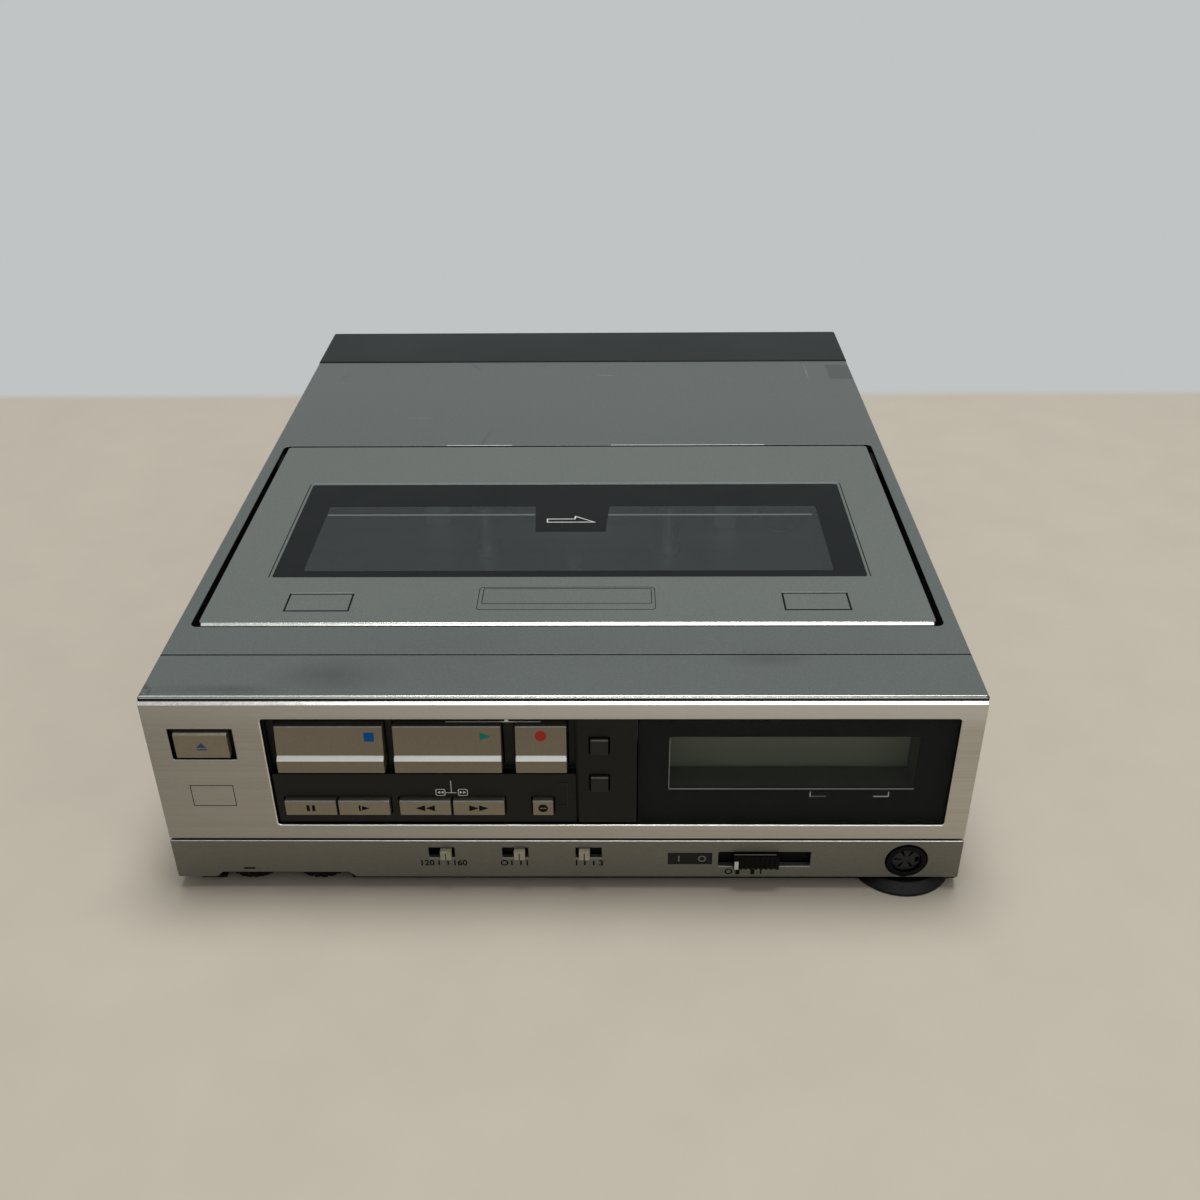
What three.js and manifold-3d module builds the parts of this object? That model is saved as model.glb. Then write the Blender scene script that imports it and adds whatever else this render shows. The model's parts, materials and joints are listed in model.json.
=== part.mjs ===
// A portable video cassette recorder: a low cabinet with a lid that lifts the cassette
// holder, push keys and a display in the front, and the tape deck inside.
// Millimetres. X runs to the right, Y from the front to the back, Z up.
import * as THREE from "three";
import { mergeVertices } from "three/addons/utils/BufferGeometryUtils.js";
import Module from "manifold-3d";

const wasm = await Module();
wasm.setup();

// Clearances that all pieces share
const seat = 0.3; // between two pieces that rest on each other
const slack = 0.35; // around a piece that moves in its opening
const overrun = 2; // how far a cut runs past the material

// Cabinet shells
const cabinet = {
  width: 215,
  depth: 266.8,
  height: 60.1,
  wall: 1.6,
  roof: 1.2,
  edgeRadius: 1,
};

// Sizes and places that grow with the cabinet, as shares of its width, depth and height
const across = (share) => share * cabinet.width;
const along = (share) => share * cabinet.depth;
const upward = (share) => share * cabinet.height;

// Panels, housing and tray
const lowerPanel = {
  height: upward(0.2213),
  thickness: 1.8,
  sideInset: 0.3,
  cornerRadius: 0.5,
  splitGap: 0.7,
};
const frontPanel = { thickness: 1.5, sideInset: 0.4, topGap: 0.3, cornerRadius: 0.6 };
const frontTrim = { depth: along(0.07684), frameDepth: 1.6, frameBorder: 2.6 };
const rearHousing = { depth: along(0.12631), proud: 0.4, wall: 1.8, socketRoom: 27.5, edgeRadius: 1 };
const tray = {
  floor: 1,
  keelDepth: 2.4,
  keelInset: 4.2,
  keelSlope: 1.7,
  rearWall: 1.5,
  boardBossRadius: 3,
  deckPostRadius: 3.5,
  deckPostInset: 7.4,
};

// Feet: round rubber pads in cups under the tray
const foot = {
  radius: 14.1,
  neckRadius: 11.6,
  height: 3,
  rim: 0.6,
  cupWall: 2,
  cupRoof: 1,
  cupRise: 0.4,
  sideInset: 14.3,
  frontSetback: 36,
  rearSetback: 21,
  rightFootSetback: 10.7,
};

// Window of the front panel, its keys, and the smaller keys under them
const window_ = {
  left: across(0.14279),
  right: across(0.0307),
  bottom: upward(0.08153),
  top: upward(0.1015),
  cornerRadius: 0.8,
};
const bezel = {
  depth: 3.7,
  border: 2.8,
  leftEnd: 4,
  wellDepth: 1.6,
  wellHeight: upward(0.30532),
  lowerRise: 0.9,
  sideRise: 1.1,
  bossRadius: 2,
};
const bigKey = {
  leftMargin: across(0.01302),
  topMargin: upward(0.05075),
  width: across(0.1293),
  height: upward(0.22296),
  spacing: across(0.01209),
  recordSpacing: across(0.01674),
  recordWidth: across(0.0614),
  topInset: 1.2,
  ledgeHeight: upward(0.06406),
  ledgeSlope: 1.1,
  ledgeProud: 1.1,
  travel: 2,
};
const smallKey = {
  bottomMargin: upward(0.06406),
  height: upward(0.08153),
  spacing: 0.6,
  proud: 0.5,
  bevel: 0.3,
  insertWidth: across(0.02512),
};
const sideKey = {
  fromDivider: 3.6,
  width: 4.6,
  resetFromTop: upward(0.14642),
  memoryFromBottom: upward(0.23461),
  proud: 0.3,
};
const keyFlange = { thickness: 1.5, overlap: 0.7 };
const divider = { fromWindowLeft: across(0.37349), panelWidth: across(0.07349) };
const ejectKey = {
  recessLeft: across(0.03023),
  recessTop: upward(0.15141),
  recessWidth: across(0.07674),
  recessHeight: upward(0.16473),
  width: across(0.06465),
  height: upward(0.12978),
  proud: 0.6,
  bevel: 0.6,
};

// Display: a smoked lens, a black tunnel behind it and the glass at its end
const lens = { thickness: 2, recess: 0.3 };
const displayBezel = { depth: 9, left: 8.4, right: 8.9, bottom: upward(0.18136), top: upward(0.12479) };
const displayGlass = { thickness: 2.5, border: 2.2 };
const frontBoard = { thickness: 1.6, clearance: 0.6, bottomMargin: 2, topMargin: 4 };

// Slide switches, power switch, trimmer wheels and socket in the lower panel
const slot = {
  firstLeft: across(0.32698),
  pitch: across(0.09302),
  width: across(0.03209),
  height: upward(0.0599),
  centreHeight: upward(0.14809),
  knobWidth: 2.9,
  knobProud: 1.3,
  offset: 1.2,
};
const powerSlot = {
  right: across(0.19116),
  width: across(0.11581),
  height: upward(0.08486),
  centreHeight: upward(0.11065),
  knobWidth: across(0.05721),
  knobProud: 1.7,
  restFromLeft: across(0.0186),
  travel: 4.2,
  ribCount: 8,
  ribDepth: 0.35,
};
const slider = { baseThickness: 1.2, baseOverlap: 0.9 };
const switchBoard = { thickness: 1.4, overlap: 4 };
const trimmer = {
  firstLeft: across(0.09535),
  pitch: across(0.08837),
  radius: across(0.03953),
  height: 2.4,
  recess: 0.9,
  gripCount: 24,
  gripDepth: 0.4,
  pinRadius: 2,
  pinHeight: 1,
};
const slitShares = [0.3, 0.75]; // from the middle of the socket to its bore
const notch = { left: across(0.06), width: across(0.16233), height: 1.7, slope: 1.8, floorSetback: 4 };
const socket = {
  right: across(0.06977),
  centreHeight: upward(0.1015),
  radius: upward(0.08902),
  boreRadius: upward(0.06656),
  depth: 6.6,
  boreDepth: 5.6,
  proud: 0.4,
  slitCount: 5,
  slitWidth: 0.7,
  slitDepth: 0.6,
};

// Lid with its window, and the cassette holder that hangs under it
const lid = {
  front: along(0.13306),
  depth: along(0.43291),
  width: across(0.94419),
  thickness: 2.2,
  frontGap: 1.3,
  sideGap: 1.8,
  rearGap: 0.9,
  cornerRadius: 2,
  bevel: 0.7,
  skirtHeight: 4,
  skirtThickness: 1.5,
};
const lidWindow = {
  width: across(0.80465),
  front: along(0.09633),
  depth: along(0.22339),
  cornerRadius: 0.8,
  thickness: 1.5,
  flange: 2,
  sink: 0.2,
};
const hinge = { fromRear: 7, below: 2.9, pinRadius: 0.9, lugRadius: 2.1, lugThickness: 3, opening: 22 };
const cassette = { width: across(0.87116), depth: along(0.38606), height: upward(0.42263), play: 0.8 };
const holder = {
  sheet: 1.2,
  flange: 10.5,
  crossBar: 12,
  frontBar: 14,
  front: 6.5,
  depth: along(0.40105),
};
const latch = { width: 12, depth: 5, height: 9, hookHeight: 2, catchHeight: 5 };

// Tape deck
const deck = {
  thickness: 1.5,
  underCassette: upward(0.06656),
  frontMargin: along(0.11244),
  rearMargin: 3,
  sideMargin: 3,
  earThickness: 1.3,
  earWidth: 9,
};
const reel = {
  spacing: across(0.42791),
  fromMouth: along(0.2024),
  radius: across(0.10233),
  thickness: 2.4,
  hubRadius: 10,
  hubHeight: upward(0.04992),
  spindleRadius: 3.4,
  spindleHeight: upward(0.14975),
  vaneCount: 3,
  vaneWidth: 1.6,
  vaneReach: 4.6,
  axleRadius: 1.5,
};
const idler = {
  pivotFromFront: along(0.11994),
  armLength: along(0.08996),
  radius: along(0.06372),
  thickness: 2,
  armWidth: 6,
  armThickness: 1,
};
const drum = {
  radius: along(0.11619),
  behindMouth: along(0.17241),
  tilt: 5.97,
  lowerHeight: upward(0.23295),
  upperHeight: upward(0.14975),
  split: 0.4,
  flangeRadius: along(0.13118),
  flangeHeight: 3,
  axleRadius: 3,
  hubRadius: 8,
  hubHeight: 1.5,
  headNotch: 3,
};
const guide = {
  restX: across(0.14884),
  restBeforeMouth: 8,
  loadedX: across(0.19535),
  loadedBehindMouth: along(0.16492),
  baseRadius: 4.6,
  baseHeight: 3,
  postRadius: 2.5,
  postHeight: upward(0.26622),
  flangeRadius: 3.4,
  flangeHeight: 1.4,
  slotWidth: 3.4,
  shoeRadius: 3.4,
  shoeHeight: 1.4,
};
const capstan = {
  x: across(0.30698),
  behindMouth: along(0.07496),
  shaftRadius: 1.5,
  shaftHeight: upward(0.33278),
  flywheelRadius: 19,
  flywheelHeight: upward(0.06656),
  belowDeck: 2.4,
};
const capstanMotor = { radius: 20.5 };
const pinch = {
  pivotX: across(0.4093),
  pivotBehindMouth: along(0.1012),
  rollerRadius: 6,
  rollerHeight: upward(0.19967),
  contactAngle: -60,
  swing: 14,
  armWidth: 6,
  armThickness: 2,
  axleRadius: 1.5,
  pivotRadius: 3,
  pressGap: 0.3,
};
const eraseHead = {
  x: across(-0.24186),
  behindMouth: along(0.05622),
  width: 9,
  depth: 7,
  height: upward(0.2995),
};
const audioHead = {
  x: across(0.25116),
  behindMouth: along(0.04873),
  width: 8,
  depth: 7,
  height: upward(0.28286),
};
const lampPost = {
  width: 5,
  depth: 5,
  height: upward(0.2995),
  fromMouth: along(0.13868),
  barWidth: 13,
  barDepth: 1.8,
  stemWidth: 3,
  stemLength: 8,
  plateHeight: 1.2,
  plateDrop: upward(0.08319),
};
const loadingMotor = {
  radius: upward(0.14143),
  length: 28,
  right: 12,
  fromRear: 12,
  shaftRadius: 1.2,
  wormRadius: 3,
  wormLength: 14,
};
const reelMotor = { radius: 11, height: upward(0.19967), shaftRadius: 1.5 };
const mainBoard = {
  above: upward(0.11647),
  thickness: 1.6,
  sideMargin: 16,
  frontMargin: 6,
  rearMargin: 10,
};
const chip = { width: 22, depth: 14, height: 3 };
const chipRowShares = [0.2, 0.42, 0.64];
const chipColumnShares = [-0.7, -0.35];
const can = { width: 18, depth: 12, height: 3.6 };

// Battery bay and side socket
const battery = { play: 0.4, endRoom: 5.7, contactWidth: 6, contactHeight: 8, contactDepth: 0.8 };
const door = { thickness: 1.6, pivotHeight: 1.4, pinRadius: 0.7, pinLength: 1.2 };
const cameraSocket = {
  radius: 9,
  rim: 1.6,
  depth: 10,
  boreDepth: 8.4,
  flange: 1.6,
  flangeThickness: 1.2,
};

// Faces and lines that several pieces share
const halfWidth = cabinet.width / 2;
const innerHalf = halfWidth - cabinet.wall;
const coverUnderside = cabinet.height - cabinet.roof;
const upperBottom = lowerPanel.height + lowerPanel.splitGap;
const upperTop = cabinet.height - frontPanel.topGap;
const rearStart = cabinet.depth - rearHousing.depth;
const keelBottom = -tray.keelDepth;
const keelFloor = keelBottom + tray.floor;
const windowLeft = -halfWidth + window_.left;
const windowRight = halfWidth - window_.right;
const windowBottom = upperBottom + window_.bottom;
const windowTop = cabinet.height - window_.top;
const dividerX = windowLeft + divider.fromWindowLeft;
const lensLeft = dividerX + divider.panelWidth;
const bezelFront = frontPanel.thickness + seat;
const bezelBack = bezelFront + bezel.depth;
const flangeFront = bezelBack + seat;
const flangeBack = flangeFront + keyFlange.thickness;
const frontBoardFront = flangeBack + bigKey.travel + frontBoard.clearance;
const sliderFront = lowerPanel.thickness + seat;
const sliderBack = sliderFront + slider.baseThickness;
const switchBoardFront = sliderBack + seat;
const lidTop = cabinet.height;
const lidRear = lid.front + lid.depth;
const lidUnderside = lidTop - lid.thickness;
const hingeY = lidRear - hinge.fromRear;
const hingeZ = lidTop - hinge.below;
const paneUnderside = lidUnderside - seat - lidWindow.thickness;
const holderTop = paneUnderside - seat;
const holderHalf = cassette.width / 2 + cassette.play + holder.sheet;
const holderFront = lid.front + holder.front;
const holderBack = holderFront + holder.depth;
const holderBottom = holderTop - holder.sheet - cassette.play - cassette.height - holder.sheet;
const mouthY = holderFront + cassette.depth;
const deckTop = holderBottom - deck.underCassette + deck.thickness;
const deckBottom = deckTop - deck.thickness;
const deckHalf = innerHalf - deck.sideMargin;
const deckFront = deck.frontMargin;
const deckBack = rearStart - deck.rearMargin;
const boardBottom = keelFloor + mainBoard.above;
const boardTop = boardBottom + mainBoard.thickness;
const boardHalf = halfWidth - mainBoard.sideMargin;
const boardFront = deckFront + mainBoard.frontMargin;
const boardBack = rearStart - mainBoard.rearMargin;
const notchLeft = -halfWidth + notch.left;
const cupTop = foot.cupRise;
const footTop = cupTop - foot.cupRoof - seat;
const footBottom = footTop - foot.height;
const frontProud = Math.max(foot.radius - foot.rightFootSetback, powerSlot.knobProud);

// Finishes
const finishes = {
  cabinetPaint: { color: 0x6a6f6c, roughness: 0.45, metalness: 0.35 },
  aluminium: { color: 0x8c887d, roughness: 0.35, metalness: 0.8 },
  lowerPaint: { color: 0x57544c, roughness: 0.45, metalness: 0.4 },
  blackGloss: { color: 0x1d2020, roughness: 0.18, metalness: 0 },
  blackMatt: { color: 0x1b1b1a, roughness: 0.6, metalness: 0 },
  rubber: { color: 0x1e1f1e, roughness: 0.85, metalness: 0 },
  keyPaint: { color: 0x5f5849, roughness: 0.4, metalness: 0.3 },
  darkKey: { color: 0x2c2d2a, roughness: 0.45, metalness: 0.1 },
  knob: { color: 0x8b8873, roughness: 0.5, metalness: 0 },
  smokedLens: { color: 0x161817, roughness: 0.08, metalness: 0, transparent: true, opacity: 0.55 },
  displayGlass: { color: 0x3a3c35, roughness: 0.25, metalness: 0 },
  steel: { color: 0x9a9c9b, roughness: 0.35, metalness: 0.9 },
  castMetal: { color: 0x85878a, roughness: 0.5, metalness: 0.8 },
  machined: { color: 0xc3c5c6, roughness: 0.2, metalness: 0.95 },
  whitePlastic: { color: 0xd6d4cb, roughness: 0.5, metalness: 0 },
  board: { color: 0x2f5b34, roughness: 0.55, metalness: 0 },
  battery: { color: 0x34363a, roughness: 0.6, metalness: 0 },
};
const materials = Object.fromEntries(
  Object.entries(finishes).map(([name, values]) => [name, new THREE.MeshStandardMaterial(values)]),
);

// Smoothness of round shapes, in sides or in segments of one arc
const roundSides = 40;
const smallSides = 20;
const arcSegments = 3;
const gripSides = 6;

// Solids from three.js shapes
function solid(geometry) {
  geometry.deleteAttribute("normal");
  geometry.deleteAttribute("uv");
  const merged = mergeVertices(geometry);
  return new wasm.Manifold(
    new wasm.Mesh({
      numProp: 3,
      vertProperties: new Float32Array(merged.attributes.position.array),
      triVerts: new Uint32Array(merged.index.array),
    }),
  );
}

function block(x0, x1, y0, y1, z0, z1) {
  const geometry = new THREE.BoxGeometry(x1 - x0, y1 - y0, z1 - z0);
  return solid(geometry.translate((x0 + x1) / 2, (y0 + y1) / 2, (z0 + z1) / 2));
}

// A cylinder or cone along X, Y or Z, from low to high, about the point where its axis crosses
function rod(axis, centre, radius, low, high, sides = roundSides, topRadius = radius) {
  const geometry = new THREE.CylinderGeometry(topRadius, radius, high - low, sides);
  geometry.translate(0, (low + high) / 2, 0);
  if (axis === "x") geometry.rotateZ(-Math.PI / 2).translate(0, centre[0], centre[1]);
  if (axis === "y") geometry.translate(centre[0], 0, centre[1]);
  if (axis === "z") geometry.rotateX(Math.PI / 2).translate(centre[0], centre[1], 0);
  return solid(geometry);
}

function polygon(points) {
  return new THREE.Shape(points.map(([u, v]) => new THREE.Vector2(u, v)));
}

function roundedRectangle(u0, u1, v0, v1, radius) {
  const shape = new THREE.Shape();
  shape.absarc(u1 - radius, v1 - radius, radius, 0, Math.PI / 2);
  shape.absarc(u0 + radius, v1 - radius, radius, Math.PI / 2, Math.PI);
  shape.absarc(u0 + radius, v0 + radius, radius, Math.PI, 1.5 * Math.PI);
  shape.absarc(u1 - radius, v0 + radius, radius, 1.5 * Math.PI, 2 * Math.PI);
  return shape;
}

// A shape drawn in X and Z, extruded from y0 to y1
function upright(shape, y0, y1) {
  const geometry = new THREE.ExtrudeGeometry(shape, {
    depth: y1 - y0,
    bevelEnabled: false,
    curveSegments: arcSegments,
  });
  return solid(geometry.rotateX(Math.PI / 2).translate(0, y1, 0));
}

// A shape drawn in X and Y, extruded from z0 to z1
function flat(shape, z0, z1) {
  const geometry = new THREE.ExtrudeGeometry(shape, {
    depth: z1 - z0,
    bevelEnabled: false,
    curveSegments: arcSegments,
  });
  return solid(geometry.translate(0, 0, z0));
}

// A shape drawn in Y and Z, extruded from x0 to x1
function sideways(shape, x0, x1) {
  const geometry = new THREE.ExtrudeGeometry(shape, {
    depth: x1 - x0,
    bevelEnabled: false,
    curveSegments: arcSegments,
  });
  const turn = new THREE.Matrix4().makeBasis(
    new THREE.Vector3(0, 1, 0),
    new THREE.Vector3(0, 0, 1),
    new THREE.Vector3(1, 0, 0),
  );
  return solid(geometry.applyMatrix4(turn).translate(x0, 0, 0));
}

function join(...pieces) {
  return pieces.flat().reduce((whole, piece) => whole.add(piece));
}

function cut(whole, ...tools) {
  return tools.flat().reduce((rest, tool) => rest.subtract(tool), whole);
}

// The assembly stands on its feet, with the origin under the middle of its outline
const part = new THREE.Group();
const assembly = new THREE.Group();
assembly.position.set(0, -(cabinet.depth - frontProud) / 2, -footBottom);
part.add(assembly);

function place(name, finish, body, position = [0, 0, 0], parent = assembly) {
  const data = body.getMesh();
  const count = data.numVert;
  const positions = new Float32Array(count * 3);
  for (let i = 0; i < count; i += 1) {
    const start = i * data.numProp;
    positions.set(data.vertProperties.subarray(start, start + 3), i * 3);
  }
  const geometry = new THREE.BufferGeometry();
  geometry.setAttribute("position", new THREE.BufferAttribute(positions, 3));
  geometry.setIndex(new THREE.BufferAttribute(new Uint32Array(data.triVerts), 1));
  geometry.computeVertexNormals();
  const mesh = new THREE.Mesh(geometry, materials[finish]);
  mesh.name = name;
  mesh.position.set(...position);
  parent.add(mesh);
  return mesh;
}

// Where the feet and the trimmer wheels stand
const footPlaces = {
  front_left: [-halfWidth + foot.sideInset, foot.frontSetback],
  front_right: [halfWidth - foot.sideInset, foot.rightFootSetback],
  rear_left: [-halfWidth + foot.sideInset, rearStart - foot.rearSetback],
  rear_right: [halfWidth - foot.sideInset, rearStart - foot.rearSetback],
};

const trimmerPlaces = [0, 1].map((i) => [
  -halfWidth + trimmer.firstLeft + i * trimmer.pitch,
  trimmer.recess + trimmer.radius,
]);

// Tray: side walls, floor with a keel that is drawn in, cups for the feet, and bosses
function traySection() {
  const outer = halfWidth;
  const keelTopHalf = halfWidth - tray.keelInset;
  const keelHalf = keelTopHalf - tray.keelSlope;
  const right = [
    [keelHalf, keelBottom],
    [keelTopHalf, 0],
    [outer, 0],
    [outer, lowerPanel.height],
    [innerHalf, lowerPanel.height],
    [innerHalf, tray.floor],
    [keelTopHalf - tray.floor, tray.floor],
    [keelHalf - tray.floor, keelFloor],
  ];
  const left = right.map(([x, z]) => [-x, z]).reverse();
  return polygon([...right, ...left]);
}

function makeTray() {
  const front = lowerPanel.thickness + seat;
  const back = rearStart - seat;
  const footCentres = Object.values(footPlaces);
  const cupRadius = foot.radius + seat + foot.cupWall;
  const cups = footCentres.map((at) => rod("z", at, cupRadius, keelBottom, cupTop));
  const root = keelFloor - tray.floor / 2;
  const pockets = footCentres.map((at) =>
    rod("z", at, foot.radius + seat, keelBottom - overrun, footTop + seat),
  );
  const rearWall = block(-innerHalf, innerHalf, back - tray.rearWall, back, 0, lowerPanel.height);
  const postX = innerHalf - tray.deckPostInset;
  const postYs = [deckFront + tray.deckPostInset, hingeY, deckBack - tray.deckPostInset];
  const posts = [-postX, postX].flatMap((x) =>
    postYs.map((y) => rod("z", [x, y], tray.deckPostRadius, root, deckBottom - seat, smallSides)),
  );
  const bossX = boardHalf - tray.boardBossRadius * 2;
  const bossYs = [boardFront + tray.boardBossRadius * 3, boardBack - tray.boardBossRadius * 3];
  const bosses = [-bossX, bossX].flatMap((x) =>
    bossYs.map((y) => rod("z", [x, y], tray.boardBossRadius, root, boardBottom - seat, smallSides)),
  );
  const pinTop = keelFloor + seat + trimmer.height + trimmer.pinHeight;
  const pins = trimmerPlaces.map((at) =>
    rod("z", at, trimmer.pinRadius, root, pinTop, smallSides),
  );
  const fingerRoom = block(
    notchLeft,
    notchLeft + notch.width,
    front - overrun,
    front + notch.floorSetback,
    keelBottom - overrun,
    keelFloor + tray.floor,
  );
  const outline = block(-halfWidth, halfWidth, front, back, keelBottom, cabinet.height);
  const shell = join(upright(traySection(), front, back), rearWall, cups, posts, bosses, pins);
  return cut(shell, pockets, fingerRoom).intersect(outline);
}
place("bottom_tray", "blackMatt", makeTray());

function makeFoot() {
  const neck = rod("z", [0, 0], foot.radius, foot.rim, foot.height, roundSides, foot.neckRadius);
  return join(rod("z", [0, 0], foot.radius, 0, foot.rim), neck);
}
for (const [where, [x, y]] of Object.entries(footPlaces)) {
  place("foot_" + where, "rubber", makeFoot(), [x, y, footBottom]);
}

// Painted covers: a band behind the front panel and the main cover with the lid opening
function coverSection() {
  const r = cabinet.edgeRadius;
  const shape = new THREE.Shape();
  const top = cabinet.height;
  shape.moveTo(halfWidth, upperBottom);
  shape.absarc(halfWidth - r, top - r, r, 0, Math.PI / 2);
  shape.absarc(-halfWidth + r, top - r, r, Math.PI / 2, Math.PI);
  shape.lineTo(-halfWidth, upperBottom);
  shape.lineTo(-innerHalf, upperBottom);
  shape.lineTo(-innerHalf, coverUnderside);
  shape.lineTo(innerHalf, coverUnderside);
  shape.lineTo(innerHalf, upperBottom);
  return shape;
}

function makeFrontTrim() {
  const front = bezelFront;
  const frame = cut(
    block(
      -innerHalf - cabinet.wall / 2,
      innerHalf + cabinet.wall / 2,
      front,
      front + frontTrim.frameDepth,
      upperBottom,
      coverUnderside + cabinet.roof / 2,
    ),
    block(
      -innerHalf + frontTrim.frameBorder / 2,
      innerHalf - frontTrim.frameBorder / 2,
      front - overrun,
      front + frontTrim.frameDepth + overrun,
      upperBottom + frontTrim.frameBorder / 2,
      coverUnderside - frontTrim.frameBorder / 2,
    ),
  );
  return join(upright(coverSection(), front, frontTrim.depth - seat / 2), frame);
}
place("front_cover_band", "cabinetPaint", makeFrontTrim());

const openingHalf = lid.width / 2 + lid.sideGap;
const openingFront = lid.front - lid.frontGap;
const openingRear = lidRear + lid.rearGap;

function makeTopCover() {
  const opening = roundedRectangle(
    -openingHalf,
    openingHalf,
    openingFront,
    openingRear,
    lid.cornerRadius,
  );
  return cut(
    upright(coverSection(), frontTrim.depth + seat / 2, rearStart - seat),
    flat(opening, coverUnderside - overrun, cabinet.height + overrun),
  );
}
place("top_cover", "cabinetPaint", makeTopCover());

// Front panels
const ejectLeft = -halfWidth + ejectKey.recessLeft;
const ejectTop = cabinet.height - ejectKey.recessTop;
const ejectCentre = [ejectLeft + ejectKey.recessWidth / 2, ejectTop - ejectKey.recessHeight / 2];

function makeFrontPanel() {
  const half = halfWidth - frontPanel.sideInset;
  const plate = upright(
    roundedRectangle(-half, half, upperBottom, upperTop, frontPanel.cornerRadius),
    0,
    frontPanel.thickness,
  );
  const windowHole = upright(
    roundedRectangle(windowLeft, windowRight, windowBottom, windowTop, window_.cornerRadius),
    -overrun,
    frontPanel.thickness + overrun,
  );
  const ejectHole = block(
    ejectLeft,
    ejectLeft + ejectKey.recessWidth,
    -overrun,
    frontPanel.thickness + overrun,
    ejectTop - ejectKey.recessHeight,
    ejectTop,
  );
  return cut(plate, windowHole, ejectHole);
}
place("front_panel", "aluminium", makeFrontPanel());

const slotCentres = [0, 1, 2].map((i) => -halfWidth + slot.firstLeft + slot.width / 2 + i * slot.pitch);
const powerLeft = halfWidth - powerSlot.right - powerSlot.width;
const powerCentre = powerLeft + powerSlot.width / 2;
const socketX = halfWidth - socket.right;

function makeLowerPanel() {
  const half = halfWidth - lowerPanel.sideInset;
  const plate = upright(
    roundedRectangle(-half, half, 0, lowerPanel.height, lowerPanel.cornerRadius),
    0,
    lowerPanel.thickness,
  );
  const through = (x, z, width, height) =>
    block(
      x - width / 2,
      x + width / 2,
      -overrun,
      lowerPanel.thickness + overrun,
      z - height / 2,
      z + height / 2,
    );
  const slots = slotCentres.map((x) => through(x, slot.centreHeight, slot.width, slot.height));
  const powerHole = through(powerCentre, powerSlot.centreHeight, powerSlot.width, powerSlot.height);
  const socketHole = rod(
    "y",
    [socketX, socket.centreHeight],
    socket.radius + slack,
    -overrun,
    lowerPanel.thickness + overrun,
  );
  const notchRight = notchLeft + notch.width;
  const notchShape = polygon([
    [notchLeft, notch.height],
    [notchLeft - notch.slope, 0],
    [notchLeft - notch.slope, -overrun],
    [notchRight + notch.slope, -overrun],
    [notchRight + notch.slope, 0],
    [notchRight, notch.height],
  ]);
  return cut(
    plate,
    slots,
    powerHole,
    socketHole,
    upright(notchShape, -overrun, lowerPanel.thickness + overrun),
  );
}
place("lower_front_panel", "lowerPaint", makeLowerPanel());

// Keys: where each one sits in the front, its size and how far it stands out
const bigKeyZ = windowTop - bigKey.topMargin - bigKey.height / 2;
const stopLeft = windowLeft + bigKey.leftMargin;
const playLeft = stopLeft + bigKey.width + bigKey.spacing;
const recordLeft = playLeft + bigKey.width + bigKey.recordSpacing;
const smallKeyWidth = (bigKey.width - smallKey.spacing) / 2;
const smallKeyZ = windowBottom + smallKey.bottomMargin + smallKey.height / 2;
const sideKeyX = dividerX + sideKey.fromDivider + sideKey.width / 2;
const recordX = recordLeft + bigKey.recordWidth / 2;

const bigKeys = {
  stop_key: [stopLeft + bigKey.width / 2, bigKey.width],
  play_key: [playLeft + bigKey.width / 2, bigKey.width],
  record_key: [recordX, bigKey.recordWidth],
};
const smallKeys = {
  pause_key: [stopLeft + smallKeyWidth / 2, smallKeyWidth],
  slow_key: [stopLeft + bigKey.width - smallKeyWidth / 2, smallKeyWidth],
  rewind_key: [playLeft + smallKeyWidth / 2, smallKeyWidth],
  fast_forward_key: [playLeft + bigKey.width - smallKeyWidth / 2, smallKeyWidth],
  insert_key: [recordX, smallKey.insertWidth],
};
const sideKeys = {
  reset_key: windowTop - sideKey.resetFromTop,
  memory_key: windowBottom + sideKey.memoryFromBottom,
};

// One wide hole for a pair of keys that sit side by side, or one hole for one key
function keyHole(x, z, width, height) {
  const halfHole = width / 2 + slack;
  const halfHigh = height / 2 + slack;
  return block(x - halfHole, x + halfHole, -overrun, bezelBack + overrun, z - halfHigh, z + halfHigh);
}

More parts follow.
